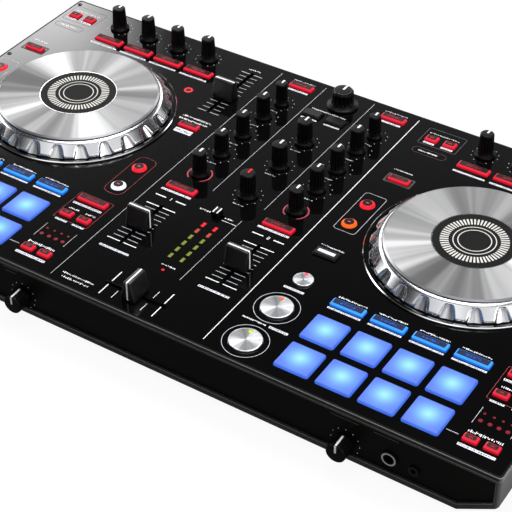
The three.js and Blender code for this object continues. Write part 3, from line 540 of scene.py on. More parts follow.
# %% Camera
VIEW_AZIMUTH, VIEW_ELEVATION = math.radians(32.68), math.radians(39.22)
VIEW_DISTANCE = 1.06913
VIEW_TARGET = Vector((0.04216, -0.05295, PANEL_TOP * MM))
SENSOR, LENS = 36.0, 108.49
towards_camera = Vector(
    (
        math.sin(VIEW_AZIMUTH) * math.cos(VIEW_ELEVATION),
        -math.cos(VIEW_AZIMUTH) * math.cos(VIEW_ELEVATION),
        math.sin(VIEW_ELEVATION),
    )
)
camera_data = bpy.data.cameras.new("camera")
camera_data.sensor_width = SENSOR
camera_data.lens = LENS
camera_data.clip_end = 100.0
camera = new_object("camera", camera_data)
camera.location = VIEW_TARGET + VIEW_DISTANCE * towards_camera
camera.rotation_mode = "QUATERNION"
camera.rotation_quaternion = (-towards_camera).to_track_quat("-Z", "Y")
bpy.context.scene.camera = camera

# %% [markdown]
# Now the places of what the panel carries. The tables give each key in its deck's own frame: x
# from the jog wheel's axis, y from the front edge of the case. Both decks share them, because the
# right deck is a copy of the left one and not its mirror image.

# %% Places on a deck
PAD_WIDTH, PAD_DEPTH, PAD_RADIUS, PAD_PITCH = 25.5, 25.0, 1.6, 30.8
PAD_ROWS = (23.5, 55.3)
COLUMN_SHARES = (-1.5, -0.5, 0.5, 1.5)
# The two rows of four keys: the pitch, how far each deck's row is shifted, y, size and colour
MODE_ROW = {"pitch": PAD_PITCH, "left": 0.9, "right": 0.9, "y": 84.0, "size": (25.0, 7.4), "colour": "blue"}
EFFECT_ROW = {"pitch": 30.05, "left": 4.6, "right": -0.4, "y": 270.6, "size": (25.4, 7.6), "colour": "red"}
# name, x, y, width, depth, colour
SQUARE_KEYS = (
    ("shift", -86.2, 124.75, 18.4, 9.6, "black"),
    ("slip", -85.3, 228.0, 16.8, 6.4, "red"),
    ("assign_1", -89.4, 288.0, 9.8, 7.2, "red"),
    ("assign_2", -74.2, 288.0, 9.8, 7.2, "red"),
    ("parameter_down", 77.3, 19.7, 10.0, 6.2, "red"),
    ("parameter_up", 91.8, 19.7, 10.0, 6.2, "red"),
    ("halve", 76.3, 64.5, 10.2, 6.2, "red"),
    ("double", 91.6, 64.5, 10.2, 6.2, "red"),
    ("loop", 83.8, 85.5, 24.6, 6.6, "red"),
    ("tempo_range", 87.2, 202.7, 16.8, 6.5, "red"),
)
# name, x, y, radius, finish
ROUND_KEYS = (
    ("round_front_left", -90.8, 164.0, 5.6, ORANGE_LAMP),
    ("round_rear_left", -90.6, 190.0, 5.6, RED_LAMP),
    ("round_front_right", 87.2, 111.6, 5.6, WHITE_LAMP),
    ("round_rear_right", 87.0, 137.7, 5.6, RED_LAMP),
)
# name, y, radius, printed ring, colour of the small lamp
TRANSPORT_X = -85.4
TRANSPORT = (
    ("play_button", 20.3, 11.4, 15.9, YELLOW_LAMP),
    ("cue_button", 58.7, 11.4, 15.9, ORANGE_LAMP),
    ("sync_button", 92.5, 7.2, None, PINK_LAMP),
)

# %% [markdown]
# The mixer's places come from the frame where a knob or a slider stands alone in its node, and
# from a table where several keys share one.

# %% Places on the mixer
CHANNEL_X = {number: middle(f"channel_{number}_fader")[0] for number in (1, 2)}
MIXER_X = sum(CHANNEL_X.values()) / 2
# how far a key is shifted from its channel's axis or the mixer's, y, width, depth, colour
LOAD_KEY = (3.5, 296.3, 20.4, 7.0, "red")
CUE_KEY = (0.1, 133.4, 24.4, 7.1, "red")
BROWSE_KEY, BROWSE_HALF_PITCH = (-0.6, 268.0, 16.0, 9.5, "black"), 10.2
ROUND_KNOBS = sorted(n for n in frame["nodes"] if n.endswith("_knob") or "_effect_knob_" in n)
FRONT_KNOBS = [n for n in ROUND_KNOBS if n in ("headphone_level_knob", "microphone_level_knob")]
PANEL_KNOBS = [n for n in ROUND_KNOBS if n not in FRONT_KNOBS]
FADERS = ("channel_1_fader", "channel_2_fader", "crossfader", "left_tempo_slider", "right_tempo_slider")
STEM_ACROSS, STEM_ALONG, SHANK_ALONG = 2.4, 6.0, 4.0


def deck_place(side, x, y):
    """A place in a deck's own frame as a place on the panel."""
    return DECKS[side][0] + x, FRONT + y


def row_x(row, share, side):
    """How far a key of a row stands from its deck's axis."""
    return share * row["pitch"] + row[side]


def deck_keys(side):
    """A deck's cornered keys, in the order they are made: name, x, y, width, depth, colour."""
    rows = [
        ("row", row_x(row, share, side), row["y"], *row["size"], row["colour"])
        for share in COLUMN_SHARES
        for row in (MODE_ROW, EFFECT_ROW)
    ]
    return [(name, *deck_place(side, x, y), *rest) for name, x, y, *rest in (*rows, *SQUARE_KEYS)]


def mixer_keys():
    """The mixer's keys, in the order they are made: their piece, x, y, width, depth, colour."""
    keys = []
    for x in CHANNEL_X.values():
        keys += [("load_keys", x, LOAD_KEY), ("cue_keys", x, CUE_KEY)]
    keys += [("load_keys", MIXER_X + way * BROWSE_HALF_PITCH, BROWSE_KEY) for way in (-1, 1)]
    return [(name, x + shift, FRONT + y, *rest) for name, x, (shift, y, *rest) in keys]


def travel(node):
    """How far a piece slides each way from rest, in millimetres, from its joint's range."""
    joint = next(j for j in frame["joints"] if j["child"] == node)
    return np.array(joint["range_m"]) / MM, np.array(joint["axis"])


print(len(PANEL_KNOBS), "knobs on the panel,", len(FRONT_KNOBS), "on the front")

# %% [markdown]
# The holes of the panel are listed before the panel is made, each as an outline in plan. A mesh
# with many holes is made by filling the space between outlines with triangles: the Delaunay fill
# keeps every outline, and the triangles that also lie in a hole's outline are dropped.

# %% Holes of the panel
SPINDLE_HOLE, SHAFT_HOLE = 5.3, 3.6


def hole_list():
    """Every hole of the panel: a closed outline, anticlockwise, already in its place."""
    holes = []

    def rectangle(x, y, width, depth, radius=0.6):
        """Lists the hole of a key, a pad or a stem, with the running gap round it."""
        shape = rounded_rectangle(width + 2 * GAP, depth + 2 * GAP, radius + GAP, 3)
        holes.append(shape + [x, y])

    for side in DECKS:
        for row in PAD_ROWS:
            for share in COLUMN_SHARES:
                rectangle(*deck_place(side, share * PAD_PITCH, row), PAD_WIDTH, PAD_DEPTH, PAD_RADIUS)
        for _, *form, _ in deck_keys(side):
            rectangle(*form)
        for _, x, y, radius, _ in ROUND_KEYS:
            holes.append(circle(radius + GAP, 24) + deck_place(side, x, y))
        for _, y, radius, _, _ in TRANSPORT:
            holes.append(circle(radius + GAP, 48) + deck_place(side, TRANSPORT_X, y))
        holes.append(circle(SPINDLE_HOLE, 24) + DECKS[side])
    for _, *form, _ in mixer_keys():
        rectangle(*form)
    for node in PANEL_KNOBS:
        holes.append(circle(SHAFT_HOLE, 16) + middle(node)[:2])
    for node in (*FADERS, "centre_slide_switch"):
        (back, on), axis = travel(node)
        along = (SHANK_ALONG if node == "centre_slide_switch" else STEM_ALONG) + on - back
        x, y = middle(node)[:2] + axis[:2] * (on + back) / 2
        sideways = abs(axis[0]) > 0.5
        rectangle(x, y, *((along, STEM_ACROSS) if sideways else (STEM_ACROSS, along)), 0.4)
    return holes


HOLES = hole_list()
print("holes in the panel:", len(HOLES))

# %% [markdown]
# The panel's upper edges are broken by a small bevel. At the front and the right its thin line of
# light is a painted highlight in light grey, and at the rear and left the bevel is matt black. The
# same small bevel runs round every hole.

# %% The top panel
PLAN_RADIUS = 2.5
EDGE_BEVEL, HOLE_BEVEL, RIM_BAND = 0.4, 0.18, 1.7


def grow(shape, amount):
    """An outline moved outwards along its normals by an amount, for a short bevel."""
    ahead = np.roll(shape, -1, 0) - np.roll(shape, 1, 0)
    normal = np.stack([ahead[:, 1], -ahead[:, 0]], -1)
    return shape + amount * normal / np.linalg.norm(normal, axis=1)[:, None]


def panel_outline(inset):
    """The panel's outline in plan, drawn in by an inset. Its corners keep their radius."""
    width, depth = 2 * (HALF_WIDTH - inset), REAR - FRONT - 2 * inset
    return rounded_rectangle(width, depth, PLAN_RADIUS, 8) + [0, (REAR + FRONT) / 2]


def flat_face(loops, z):
    """The points and triangles of the flat face between the first loop and the others in it."""
    flat = np.concatenate(loops)
    ends = np.cumsum([len(loop) for loop in loops])
    polygons = [list(range(end - len(loop), end)) for end, loop in zip(ends, loops)]
    vertices, _, triangles, _, _, owners = delaunay_2d_cdt(
        [Vector(p) for p in flat.tolist()], [], polygons, 1, 1e-5
    )
    kept = [t for t, owner in zip(triangles, owners) if list(owner) == [0]]
    return np.array([[v.x, v.y, z] for v in vertices]), kept


def panel_plate():
    """The plate as one closed surface: a filled face above and below, and a wall round each outline.

    The faces of its outer bevel are returned apart, as they have their own finish: those at the
    front and right under False, which carry a painted highlight, and those at the rear and left
    under True."""
    outer = panel_outline(0)
    loops_top = [panel_outline(EDGE_BEVEL), *[grow(hole, HOLE_BEVEL) for hole in HOLES]]
    loops_side = [outer, *HOLES]
    points, faces = [], []
    offset = 0
    for loops, z, flip in ((loops_top, PANEL_TOP, False), (loops_side, PANEL_UNDER, True)):
        plane, kept = flat_face(loops, z)
        faces += [[offset + i for i in (t[::-1] if flip else t)] for t in kept]
        points.append(plane)
        offset += len(plane)
    for i, (top, side) in enumerate(zip(loops_top, loops_side)):
        bevel = EDGE_BEVEL if i == 0 else HOLE_BEVEL
        stations = ((side, PANEL_UNDER), (side, PANEL_TOP - bevel), (top, PANEL_TOP))
        wall, quads = loft([lift(shape, 0, 0, z) for shape, z in stations])
        quads = quads[:-2] if i == 0 else [q[::-1] for q in quads[:-2]]
        points.append(wall)
        quads = [[offset + v for v in q] for q in quads]
        if i == 0:
            centre = (outer + np.roll(outer, -1, 0)) / 2
            behind = (centre[:, 1] > REAR - 1.0) | (centre[:, 0] < 1.0 - HALF_WIDTH)
            edge_faces = {
                shade: [q for q, away in zip(quads[len(outer) :], behind) if away == shade]
                for shade in (False, True)
            }
            quads = quads[: len(outer)]
        faces += quads
        offset += len(wall)
    return np.concatenate(points), faces, edge_faces


COLLAR_OUTER, COLLAR_INNER, COLLAR_HEIGHT = 76.4, 73.6, 1.7
COLLAR_CHAMFER, COLLAR_SKIN, COLLAR_SIDES = 0.5, 0.08, 192
collar_top, collar_step = PANEL_TOP + COLLAR_HEIGHT, PANEL_TOP + COLLAR_HEIGHT - COLLAR_CHAMFER
collar_section = [
    (COLLAR_OUTER, PANEL_TOP - 0.2),
    (COLLAR_OUTER, collar_step),
    (COLLAR_OUTER - COLLAR_CHAMFER, collar_top),
    (COLLAR_INNER, collar_top),
    (COLLAR_INNER, PANEL_TOP - 0.2),
]
# A bright metal skin laid over the black acrylic collar's chamfer: a painted highlight.
chamfer_highlight_section = [
    (COLLAR_OUTER + COLLAR_SKIN, collar_step),
    (COLLAR_OUTER - COLLAR_CHAMFER, collar_top + COLLAR_SKIN),
    (COLLAR_OUTER - COLLAR_CHAMFER - COLLAR_SKIN, collar_top - COLLAR_SKIN),
    (COLLAR_OUTER - COLLAR_SKIN, collar_step - COLLAR_SKIN),
]
collars = [revolve(collar_section, COLLAR_SIDES, x, y, closed=True) for x, y in DECKS.values()]
chamfer_highlights = [revolve(chamfer_highlight_section, COLLAR_SIDES, x, y, closed=True) for x, y in DECKS.values()]
band_outer, band_inner = panel_outline(EDGE_BEVEL + 0.05), panel_outline(RIM_BAND)
rim_band = line_frame(band_outer, band_inner, 0.0, 0.0, PANEL_TOP - 0.05, PANEL_TOP + 0.04)
plate_points, plate_faces, edge_faces = panel_plate()
piece(
    "panel_plate",
    [
        ((plate_points, plate_faces), ACRYLIC),
        # the front and right bevel, in light grey: a painted highlight
        ((plate_points, edge_faces[False]), PAINTED_HIGHLIGHT_ABS),
        ((plate_points, edge_faces[True]), BLACK_RIM),
        (rim_band, BLACK_RIM),
        *[(c, ACRYLIC) for c in collars],
        # the collars' chamfers: a painted highlight in bright metal
        *[(c, BRIGHT_EDGE) for c in chamfer_highlights],
    ],
    "case",
    ["top_panel"],
    weld=0.004,
)
print("panel made of", made_pieces["panel_plate"], "faces")


# %% [markdown]
# The case, the base and the front sheet already have their right shapes in the frame, but moulded
# plastic never has a knife edge. Each is copied, its loose triangles are merged into whole faces,
# and a Bevel modifier rounds every edge where two faces meet at more than a set angle.

# %% Moulded shells
DISSOLVE_ANGLE, BEVEL_ANGLE = math.radians(1.0), math.radians(34.0)


def moulded(name, node, material, width, segments=3, edge=None):
    """A frame node's shape with its edges rounded to a width in mm, and their own finish if given."""
    mesh = frame["nodes"][node].data.copy()
    mesh.name = name
    work = bmesh.new()
    work.from_mesh(mesh)
    bmesh.ops.remove_doubles(work, verts=work.verts, dist=0.002 * MM)
    bmesh.ops.dissolve_limit(work, angle_limit=DISSOLVE_ANGLE, verts=work.verts, edges=work.edges)
    work.to_mesh(mesh)
    work.free()
    mesh.materials.clear()
    mesh.materials.append(material)
    if edge:
        mesh.materials.append(edge)
    mesh.polygons.foreach_set("material_index", [0] * len(mesh.polygons))
    mesh.shade_smooth()
    mesh.set_sharp_from_angle(angle=BEVEL_ANGLE)
    made = new_object(name, mesh)
    bevel = made.modifiers.new("moulded edge", "BEVEL")
    bevel.width, bevel.segments = width * MM, segments
    bevel.limit_method, bevel.angle_limit = "ANGLE", BEVEL_ANGLE
    bevel.use_clamp_overlap = True
    bevel.harden_normals = True
    if edge:
        bevel.material = 1
    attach(made, next(b for b, ns in frame["record"]["behaviour"]["bodies"].items() if node in ns))
    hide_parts(node)
    return made


# The case's rounded edges take the light grey edge finish: a painted highlight along every edge.
moulded("case_shell", "body_frame", ABS, 0.45, edge=PAINTED_HIGHLIGHT_ABS)
moulded("base_tray", "base_plate", ABS, 0.5, 2)
moulded("front_sheet", "front_panel", FRONT_ABS, 0.2, 2)
moulded("rear_plate", "rear_connector_plate", STEEL, 0.2, 2)
print("moulded shells made")

# %% [markdown]
# Printed marks on the panel. They lie a few hundredths of a millimetre above it. Straight marks
# are thin bars, and the legends of the keys are light strips with a few plain blocks on them,
# because a legend's words belong to a maker.

# %% Printed marks
INK_LOW, INK_HIGH = PANEL_TOP + 0.01, PANEL_TOP + 0.06
OVER_LOW, OVER_HIGH = PANEL_TOP + 0.07, PANEL_TOP + 0.1
random = np.random.default_rng(11)
white, grey, strips, dim, red, dim_red, arcs, black = ([] for _ in range(8))


def bar(x, y, width, depth, low=INK_LOW, high=INK_HIGH):
    """A straight printed bar round (x, y)."""
    half_x, half_y = width / 2, depth / 2
    plan = np.array([[half_x, half_y], [-half_x, half_y], [-half_x, -half_y], [half_x, -half_y]])
    return slab(plan, x, y, low, high)


def dot(x, y, radius, low=INK_LOW, high=INK_HIGH, sides=12):
    """A round printed dot."""
    return slab(circle(radius, sides), x, y, low, high)


def marks(x0, x1, y, height, low=INK_LOW, high=INK_HIGH):
    """A row of plain strokes of uneven width, height and level, in place of a word."""
    out, x = [], x0
    while x < x1 - 0.3:
        width = min(random.uniform(0.3, 1.1), x1 - x)
        tall = height * random.uniform(0.3, 1.0)
        rise = (height - tall) * random.uniform(-0.5, 0.5)
        out.append(bar(x + width / 2, y + rise, width, tall, low, high))
        x += width + random.uniform(0.3, 0.9)
    return out


def strip(x0, x1, y, depth=2.0):
    """A light legend strip with dark blocks on it."""
    strips.append(bar((x0 + x1) / 2, y, x1 - x0, depth))
    black.extend(marks(x0 + 0.8, x1 - 0.8, y, 0.6 * depth, OVER_LOW, OVER_HIGH))


def outline(x, y, width, depth, radius, line, store):
    """A printed round-cornered outline of a line width."""
    outer = rounded_rectangle(width, depth, radius)
    inner = rounded_rectangle(width - 2 * line, depth - 2 * line, radius - line)
    store.append(line_frame(outer, inner, x, y, INK_LOW, INK_HIGH))


def scale(x, start, pitch, count, long_ones, gap, long_tick, short_tick):
    """Ticks on both sides of a slot at x. A tick is given as its store, length and width."""
    for i in range(count):
        store, length, width = long_tick if i in long_ones else short_tick
        for way in (-1, 1):
            store.append(bar(x + way * (gap + length / 2), FRONT + start + i * pitch, length, width))


# %% [markdown]
# The dividers split the mixer from the decks, and the scales stand beside the sliders.

# %% Marks of the mixer
LINE, THICK_LINE = 0.32, 0.6
# x, start and end from the front edge, width
DIVIDERS = (
    (-66.0, 6.0, 306.0, LINE),
    (-25.0, 143.6, 306.8, LINE),
    (12.4, 47.7, 125.0, LINE),
    (18.8, 145.0, 306.8, LINE),
    (59.3, 7.0, 305.5, THICK_LINE),
)
for x, start, end, width in DIVIDERS:
    (white if width == THICK_LINE else grey).append(bar(x, FRONT + (start + end) / 2, width, end - start))

SCALE_TICKS, SCALE_START, SCALE_PITCH, SCALE_GAP, NUMBER_Y = 11, 59.7, 4.74, 1.6, 118.6
# x0, x1, y, depth of a strip, from the channel's axis
CHANNEL_STRIPS = ((-12.0, 13.0, 50.0, 1.9), (-13.3, 12.5, 126.8, 2.0), (-4.9, 12.8, 289.9, 2.0))
for x in CHANNEL_X.values():
    ends, ticks = (0, SCALE_TICKS - 1), ((white, 11.0, 0.8), (grey, 8.8, 0.4))
    scale(x, SCALE_START, SCALE_PITCH, SCALE_TICKS, ends, SCALE_GAP, *ticks)
    for start, end in ((-12.6, -3.45), (5.15, 13.65)):
        white.append(bar(x + (start + end) / 2, FRONT + NUMBER_Y, end - start, 1.0))
    for x0, x1, y, depth in CHANNEL_STRIPS:
        strip(x + x0, x + x1, FRONT + y, depth)
    grey.extend(marks(x - 7.5, x + 12.0, FRONT + 303.6, 1.4))

# The channels' numbers, 1 and 2, drawn with bars: x, y, width and depth from the number's middle
DIGITS = {
    1: ((0.0, 0.0, 0.6, 3.0),),
    2: (
        (0.0, 1.3, 1.8, 0.5),
        (0.7, 0.7, 0.5, 1.2),
        (0.0, 0.0, 1.8, 0.5),
        (-0.7, -0.7, 0.5, 1.2),
        (0.0, -1.3, 1.8, 0.5),
    ),
}
for number, x in CHANNEL_X.items():
    for across, along, width, depth in DIGITS[number]:
        white.append(bar(x + 0.9 + across, FRONT + NUMBER_Y + along, width, depth))

CROSS_X = middle("crossfader")[0]
# x from the crossfader's middle, y, width, depth of the marks on both sides of it
CROSS_MARKS = (
    (21.8, 12.45, 0.8, 11.1),
    (21.8, 27.65, 0.8, 11.3),
    (12.0, 11.6, 0.4, 8.0),
    (12.0, 26.4, 0.4, 8.0),
)
for way in (-1, 1):
    for across, y, width, depth in CROSS_MARKS:
        white.append(bar(CROSS_X + way * across, FRONT + y, width, depth))

SWITCH_X, SWITCH_Y = middle("centre_slide_switch")[:2]
for x0, x1 in ((-15.0, -6.0), (6.5, 14.0)):
    white.extend(marks(SWITCH_X + x0, SWITCH_X + x1, SWITCH_Y, 1.5))
white.append(bar(SWITCH_X + 12.0, FRONT + 118.0, 12.0, 0.4))
for x0, x1 in ((-21.5, -7.5), (-1.0, 12.5)):
    strip(x0, x1, FRONT + 261.5, 1.6)
# x0, x1, y, height of a row of plain strokes
MIXER_WORDS = ((-20, 10, 276.0, 1.5), (-60, -33, 12.0, 1.8), (-58, -35, 8.0, 1.8), (-8, 4, 55.3, 1.5))
for x0, x1, y, height in MIXER_WORDS:
    white.extend(marks(x0, x1, FRONT + y, height))

# %% [markdown]
# Every knob has a ring of dots, from seven o'clock round to five o'clock, with a word's place
# behind it. The filter knobs have a red arc instead.

# %% Dot rings
DOT_RING = {"trim": 10.0, "filter": 9.2, "effect": 10.3, "high": 11.5, "mid": 11.5, "low": 11.5}
DOT_COUNT, DOT_RADIUS = 11, 0.36
DOT_START, DOT_END = math.radians(240), math.radians(-60)
FILTER_ARCS = ((-58, 62), (118, 238))
for node in PANEL_KNOBS:
    if node == "browse_knob":
        continue
    x, y = middle(node)[:2]
    kind = next((k for k in DOT_RING if k in node), None)
    radius = DOT_RING.get(kind, 11.0)
    if kind == "filter":
        for limits in FILTER_ARCS:
            start, end = np.radians(limits)
            arcs.append(arc_band(radius - 0.5, radius + 0.5, INK_LOW, INK_HIGH, start, end, x, y))
        continue
    for angle in np.linspace(DOT_START, DOT_END, DOT_COUNT):
        grey.append(dot(x + radius * math.cos(angle), y + radius * math.sin(angle), DOT_RADIUS))
    if kind != "effect":
        grey.extend(marks(x - 4.5, x + 4.5, y - radius - 2.2, 1.2))

# %% [markdown]
# Marks of a deck: legend strips in front of the keys, outlines that group them, and the scale
# beside the tempo slider.

# %% Marks of a deck
# x0, x1, y of a strip, in a deck's own frame
DECK_STRIPS = (
    (-93.7, -78.0, 80.7, 2.0),
    (-79.8, -65.4, 40.0, 2.0),
    (-94.0, -85.0, 282.4, 2.0),
    (-79.2, -69.5, 282.4, 2.0),
    (79.4, 95.0, 194.7, 5.2),
    (71.3, 96.4, 78.4, 2.0),
    (71.9, 82.0, 56.8, 2.0),
    (87.1, 97.2, 56.8, 2.0),
    (71.8, 97.2, 12.7, 2.3),
)
# x0, x1, y, height of a row of plain strokes
DECK_WORDS = (
    (-100.4, -82.2, 40.0, 1.7),
    (-95.4, -77.0, 133.2, 1.5),
    (-95.4, -80.1, 239.5, 1.5),
    (72.5, 96.2, 26.2, 2.6),
    (73.0, 82.0, 71.6, 1.7),
    (88.0, 96.0, 71.6, 1.7),
    (-95.0, -70.0, 296.0, 1.4),
    (74.4, 100.2, 213.7, 2.2),
    (73.7, 99.8, 209.4, 2.2),
    (81.8, 92.7, 296.8, 1.8),
    (-92.0, -76.0, 270.75, 1.6),
)
# x, y, width, depth, radius, line width, store of a printed outline
DECK_OUTLINES = (
    (-85.3, 228.0, 22.3, 11.2, 1.0, 1.4, black),
    (-89.9, 178.5, 17.8, 49.2, 2.5, 0.3, grey),
    (-82.0, 290.75, 32.0, 22.5, 1.5, 0.3, dim),
    (-83.0, 270.75, 28.0, 7.5, 3.6, 0.3, dim_red),
    (83.9, 74.25, 30.0, 33.5, 1.0, 0.3, red),
    (87.4, 126.3, 16.8, 50.0, 6.0, 0.3, red),
)
# x, y, width, depth of the single lines
DECK_LINES = ((71.3, 40.9, 0.3, 15.8), (97.4, 40.9, 0.3, 15.8), (64.9, 19.75, 8.6, 0.4))
TEMPO_TICKS, TEMPO_START, TEMPO_PITCH, TEMPO_X, TEMPO_GAP = 13, 227.5, 5.27, 88.1, 1.8
for side in DECKS:
    deck_x = DECKS[side][0]
    for x0, x1, y, depth in DECK_STRIPS:
        strip(deck_x + x0, deck_x + x1, FRONT + y, depth)
    for x0, x1, y, height in DECK_WORDS:
        white.extend(marks(deck_x + x0, deck_x + x1, FRONT + y, height))
    for x, y, *form in DECK_OUTLINES:
        outline(*deck_place(side, x, y), *form)
    for x, y, *form in DECK_LINES:
        grey.append(bar(*deck_place(side, x, y), *form))
    for share in COLUMN_SHARES:
        x = deck_x + row_x(MODE_ROW, share, side)
        strip(x - 12.5, x + 12.5, FRONT + 77.9, 1.6)
        white.extend(marks(x - 11, x + 11, FRONT + 91.0, 1.6))
        x = deck_x + row_x(EFFECT_ROW, share, side)
        strip(x - 13, x + 13, FRONT + 262.0, 1.8)
    long_ones, ticks = (0, TEMPO_TICKS // 2, TEMPO_TICKS - 1), ((grey, 8.0, 0.5), (grey, 6.6, 0.35))
    scale(deck_x + TEMPO_X, TEMPO_START, TEMPO_PITCH, TEMPO_TICKS, long_ones, TEMPO_GAP, *ticks)
    for _, y, _, ring, _ in TRANSPORT:
        if ring:
            x, y = deck_place(side, TRANSPORT_X, y)
            grey.append(ring_band(ring - 0.35, ring, INK_LOW, INK_HIGH, 96, x, y))

for name, marks_made, material in (
    ("white_print", white, WHITE_INK),
    ("line_print", grey, GREY_INK),
    ("strip_print", strips, STRIP_INK),
    ("outline_print", dim, DIM_INK),
    ("red_print", red, RED_INK),
    ("dim_red_print", dim_red, DIM_RED_INK),
    ("arc_print", arcs, ARC_INK),
    ("strip_blocks", black, BLACK_INK),
):
    piece(name, [(mark, material) for mark in marks_made], "case")
    print(name, "has", len(marks_made), "marks")

# %% [markdown]
# Pads are blocks of silicone with soft corners and a slightly crowned face. The crown is a few
# rings that rise by a fraction of a millimetre towards the middle.

# %% Pads
PAD_PROUD, PAD_EDGE, SHEET = 1.5, 1.1, 1.2
SHEET_TOP = PANEL_UNDER - GAP


def pad_block(x, y):
    """One pad and its UV map, which runs from 0 to 1 across its width and its depth."""
    top = PANEL_TOP + PAD_PROUD
    crown = [[PAD_EDGE + 1.5, top + 0.05], [PAD_EDGE + 5, top + 0.12], [PAD_WIDTH / 2 - 3, top + 0.16]]
    profile = np.concatenate([round_edge(SHEET_TOP - SHEET / 2, top, PAD_EDGE, 5), crown])
    shell = rounded_block(x, y, PAD_WIDTH, PAD_DEPTH, PAD_RADIUS, profile, 6)
    uv = (shell[0][:, :2] - [x, y]) / [PAD_WIDTH, PAD_DEPTH] + 0.5
    return shell, PAD, uv


for side in DECKS:
    low, high = box_mm(side + "_pad_mat")
    sheet = rounded_block(
        *((low + high) / 2)[:2], *(high - low)[:2], 2.0, [(0.0, SHEET_TOP - SHEET), (0.0, SHEET_TOP)]
    )
    blocks = [
        pad_block(*deck_place(side, share * PAD_PITCH, row)) for row in PAD_ROWS for share in COLUMN_SHARES
    ]
    piece(side + "_pads", [*blocks, (sheet, PAD)], side + "_pad_mat", [side + "_pad_mat"])
print("pads made")

# %% [markdown]
# A key is built of closed parts: an upright lit side, a lit bevelled edge with a painted
# highlight, a dark flat lid and its print. A round key is a low lit cone with a dark disc on top.

# %% Keys
KEY_PROUD, KEY_BEVEL, KEY_RADIUS, KEY_SHEET, SMALL_KEY = 2.3, 1.15, 0.9, 1.6, 10.5
ROUND_KEY_PROUD, ROUND_KEY_SLOPE, ROW_HALF = 1.75, 1.7, 65.0


def key_parts(x, y, width, depth, colour):
    """A key as closed parts: an upright side, a bevelled edge above it, a flat lid and its print.

    The edge is a loft from the full outline to one drawn in by the bevel, so it leans at 45 degrees."""
    side_finish, edge_finish, top_finish, print_finish = KEY_FINISHES[colour]
    top, step = PANEL_TOP + KEY_PROUD, PANEL_TOP + KEY_PROUD - KEY_BEVEL
    side = [(0.0, SHEET_TOP - KEY_SHEET), (0.0, step)]
    edge = [(0.02, step + 0.01), (KEY_BEVEL, top - 0.06), (KEY_BEVEL + 0.3, top - 0.04)]
    lid = [(KEY_BEVEL + 0.1, top - 0.1), (KEY_BEVEL + 0.1, top - 0.03)]
    parts = [
        (rounded_block(x, y, width, depth, KEY_RADIUS, side), side_finish),
        (rounded_block(x, y, width, depth, KEY_RADIUS, edge), edge_finish),
        (rounded_block(x, y, width, depth, 2 * KEY_RADIUS, lid), top_finish),
    ]
    if colour == "black":
        return parts
    if width < SMALL_KEY:
        return [*parts, (bar(x, y, 0.28 * width, 0.2 * depth, top - 0.04, top), print_finish)]
    row = marks(x - 0.24 * width, x + 0.24 * width, y, 0.3 * depth, top - 0.04, top)
    return parts + [(mark, print_finish) for mark in row]


def round_key_parts(x, y, radius, material):
    """A round key: a low lit cone, and a dark disc with a small mark on its flat top."""
    top, flat = PANEL_TOP + ROUND_KEY_PROUD, radius - ROUND_KEY_SLOPE
    profile = [(radius, SHEET_TOP - KEY_SHEET), (radius, PANEL_TOP + 0.35), (flat, top), (0.5, top)]
    body = revolve(soften(profile, (0, 0.3, 0.4, 0)), 48, x, y)
    inner = flat - 0.15
    centre = revolve([(inner, top - 0.03), (inner, top + 0.05), (0.5, top + 0.05)], 48, x, y)
    mark = bar(x, y, 1.8, 0.8, top + 0.05, top + 0.09)
    return [(body, material), (centre, DARK_CENTRE), (mark, PINK_LAMP)]


def sheet_bar(x0, x1, y0, y1):
    """A bar of the moulded sheet under the panel that carries the keys."""
    profile = [(0.0, SHEET_TOP - KEY_SHEET), (0.0, SHEET_TOP)]
    return rounded_block((x0 + x1) / 2, (y0 + y1) / 2, x1 - x0, y1 - y0, 0.4, profile), BLACK_KEY


for side in DECKS:
    parts = []
    for name, x, y, width, depth, colour in deck_keys(side):
        parts += key_parts(x, y, width, depth, colour)
        if name == "shift":
            lid = PANEL_TOP + KEY_PROUD
            parts.append((bar(x, y, width - 5, 3.0, lid - 0.03, lid + 0.02), STRIP_INK))
    for _, x, y, radius, material in ROUND_KEYS:
        parts += round_key_parts(*deck_place(side, x, y), radius, material)
    x = DECKS[side][0]
    for y in (FRONT + MODE_ROW["y"], FRONT + EFFECT_ROW["y"]):
        parts.append(sheet_bar(x - ROW_HALF, x + ROW_HALF, y - 2, y + 2))
    piece(side + "_keys", parts, side + "_key_frame", [side + "_key_frame"])

mixer_parts = {"load_keys": [], "cue_keys": []}
for name, *form in mixer_keys():
    mixer_parts[name] += key_parts(*form)
cue_y = FRONT + CUE_KEY[1]
mixer_parts["cue_keys"].append(sheet_bar(CHANNEL_X[1], CHANNEL_X[2], cue_y - 2.5, cue_y + 2.5))
piece("load_keys", mixer_parts["load_keys"], "load_key_frame", ["load_key_frame"])
piece("cue_keys", mixer_parts["cue_keys"], "cue_key_frame", ["cue_key_frame"])
print("keys made")

# %% [markdown]
# The jog wheel's rim is chrome-plated plastic with 24 finger dimples. The rim is a revolved
# profile, and each dimple is a scoop: inside a window of angle and height the radius is drawn in to
# a hollow floor, which is upright and deepest under the shoulder and runs out at the foot.

# %% Jog wheels
RIM_FOOT, RIM_RADIUS, RIM_SHOULDER, RIM_TOP = 1.2, 72.3, 65.7, 12.2
DIMPLES, DIMPLE_PHASE = 24, {"left": -6.2, "right": -2.8}
SCOOP_FLOOR, SCOOP_SPREAD, SCOOP_BOWL, SCOOP_START = 65.8, 5.0, 1.9, 0.25
SCOOP_HALF, SCOOP_TAPER, SCOOP_TOP = 6.7, 0.2, (9.9, 10.5)
RIM_SIDES, RIM_GAP = 24 * 36, 0.45
PLATE_RADIUS, LABEL_RADIUS = 63.4, 29.4


def ramp_up(x, start, end):
    """A smooth step: 0 before start, 1 after end, 3t squared less 2t cubed between them."""
    t = np.clip((x - start) / (end - start), 0, 1)
    return t * t * (3 - 2 * t)


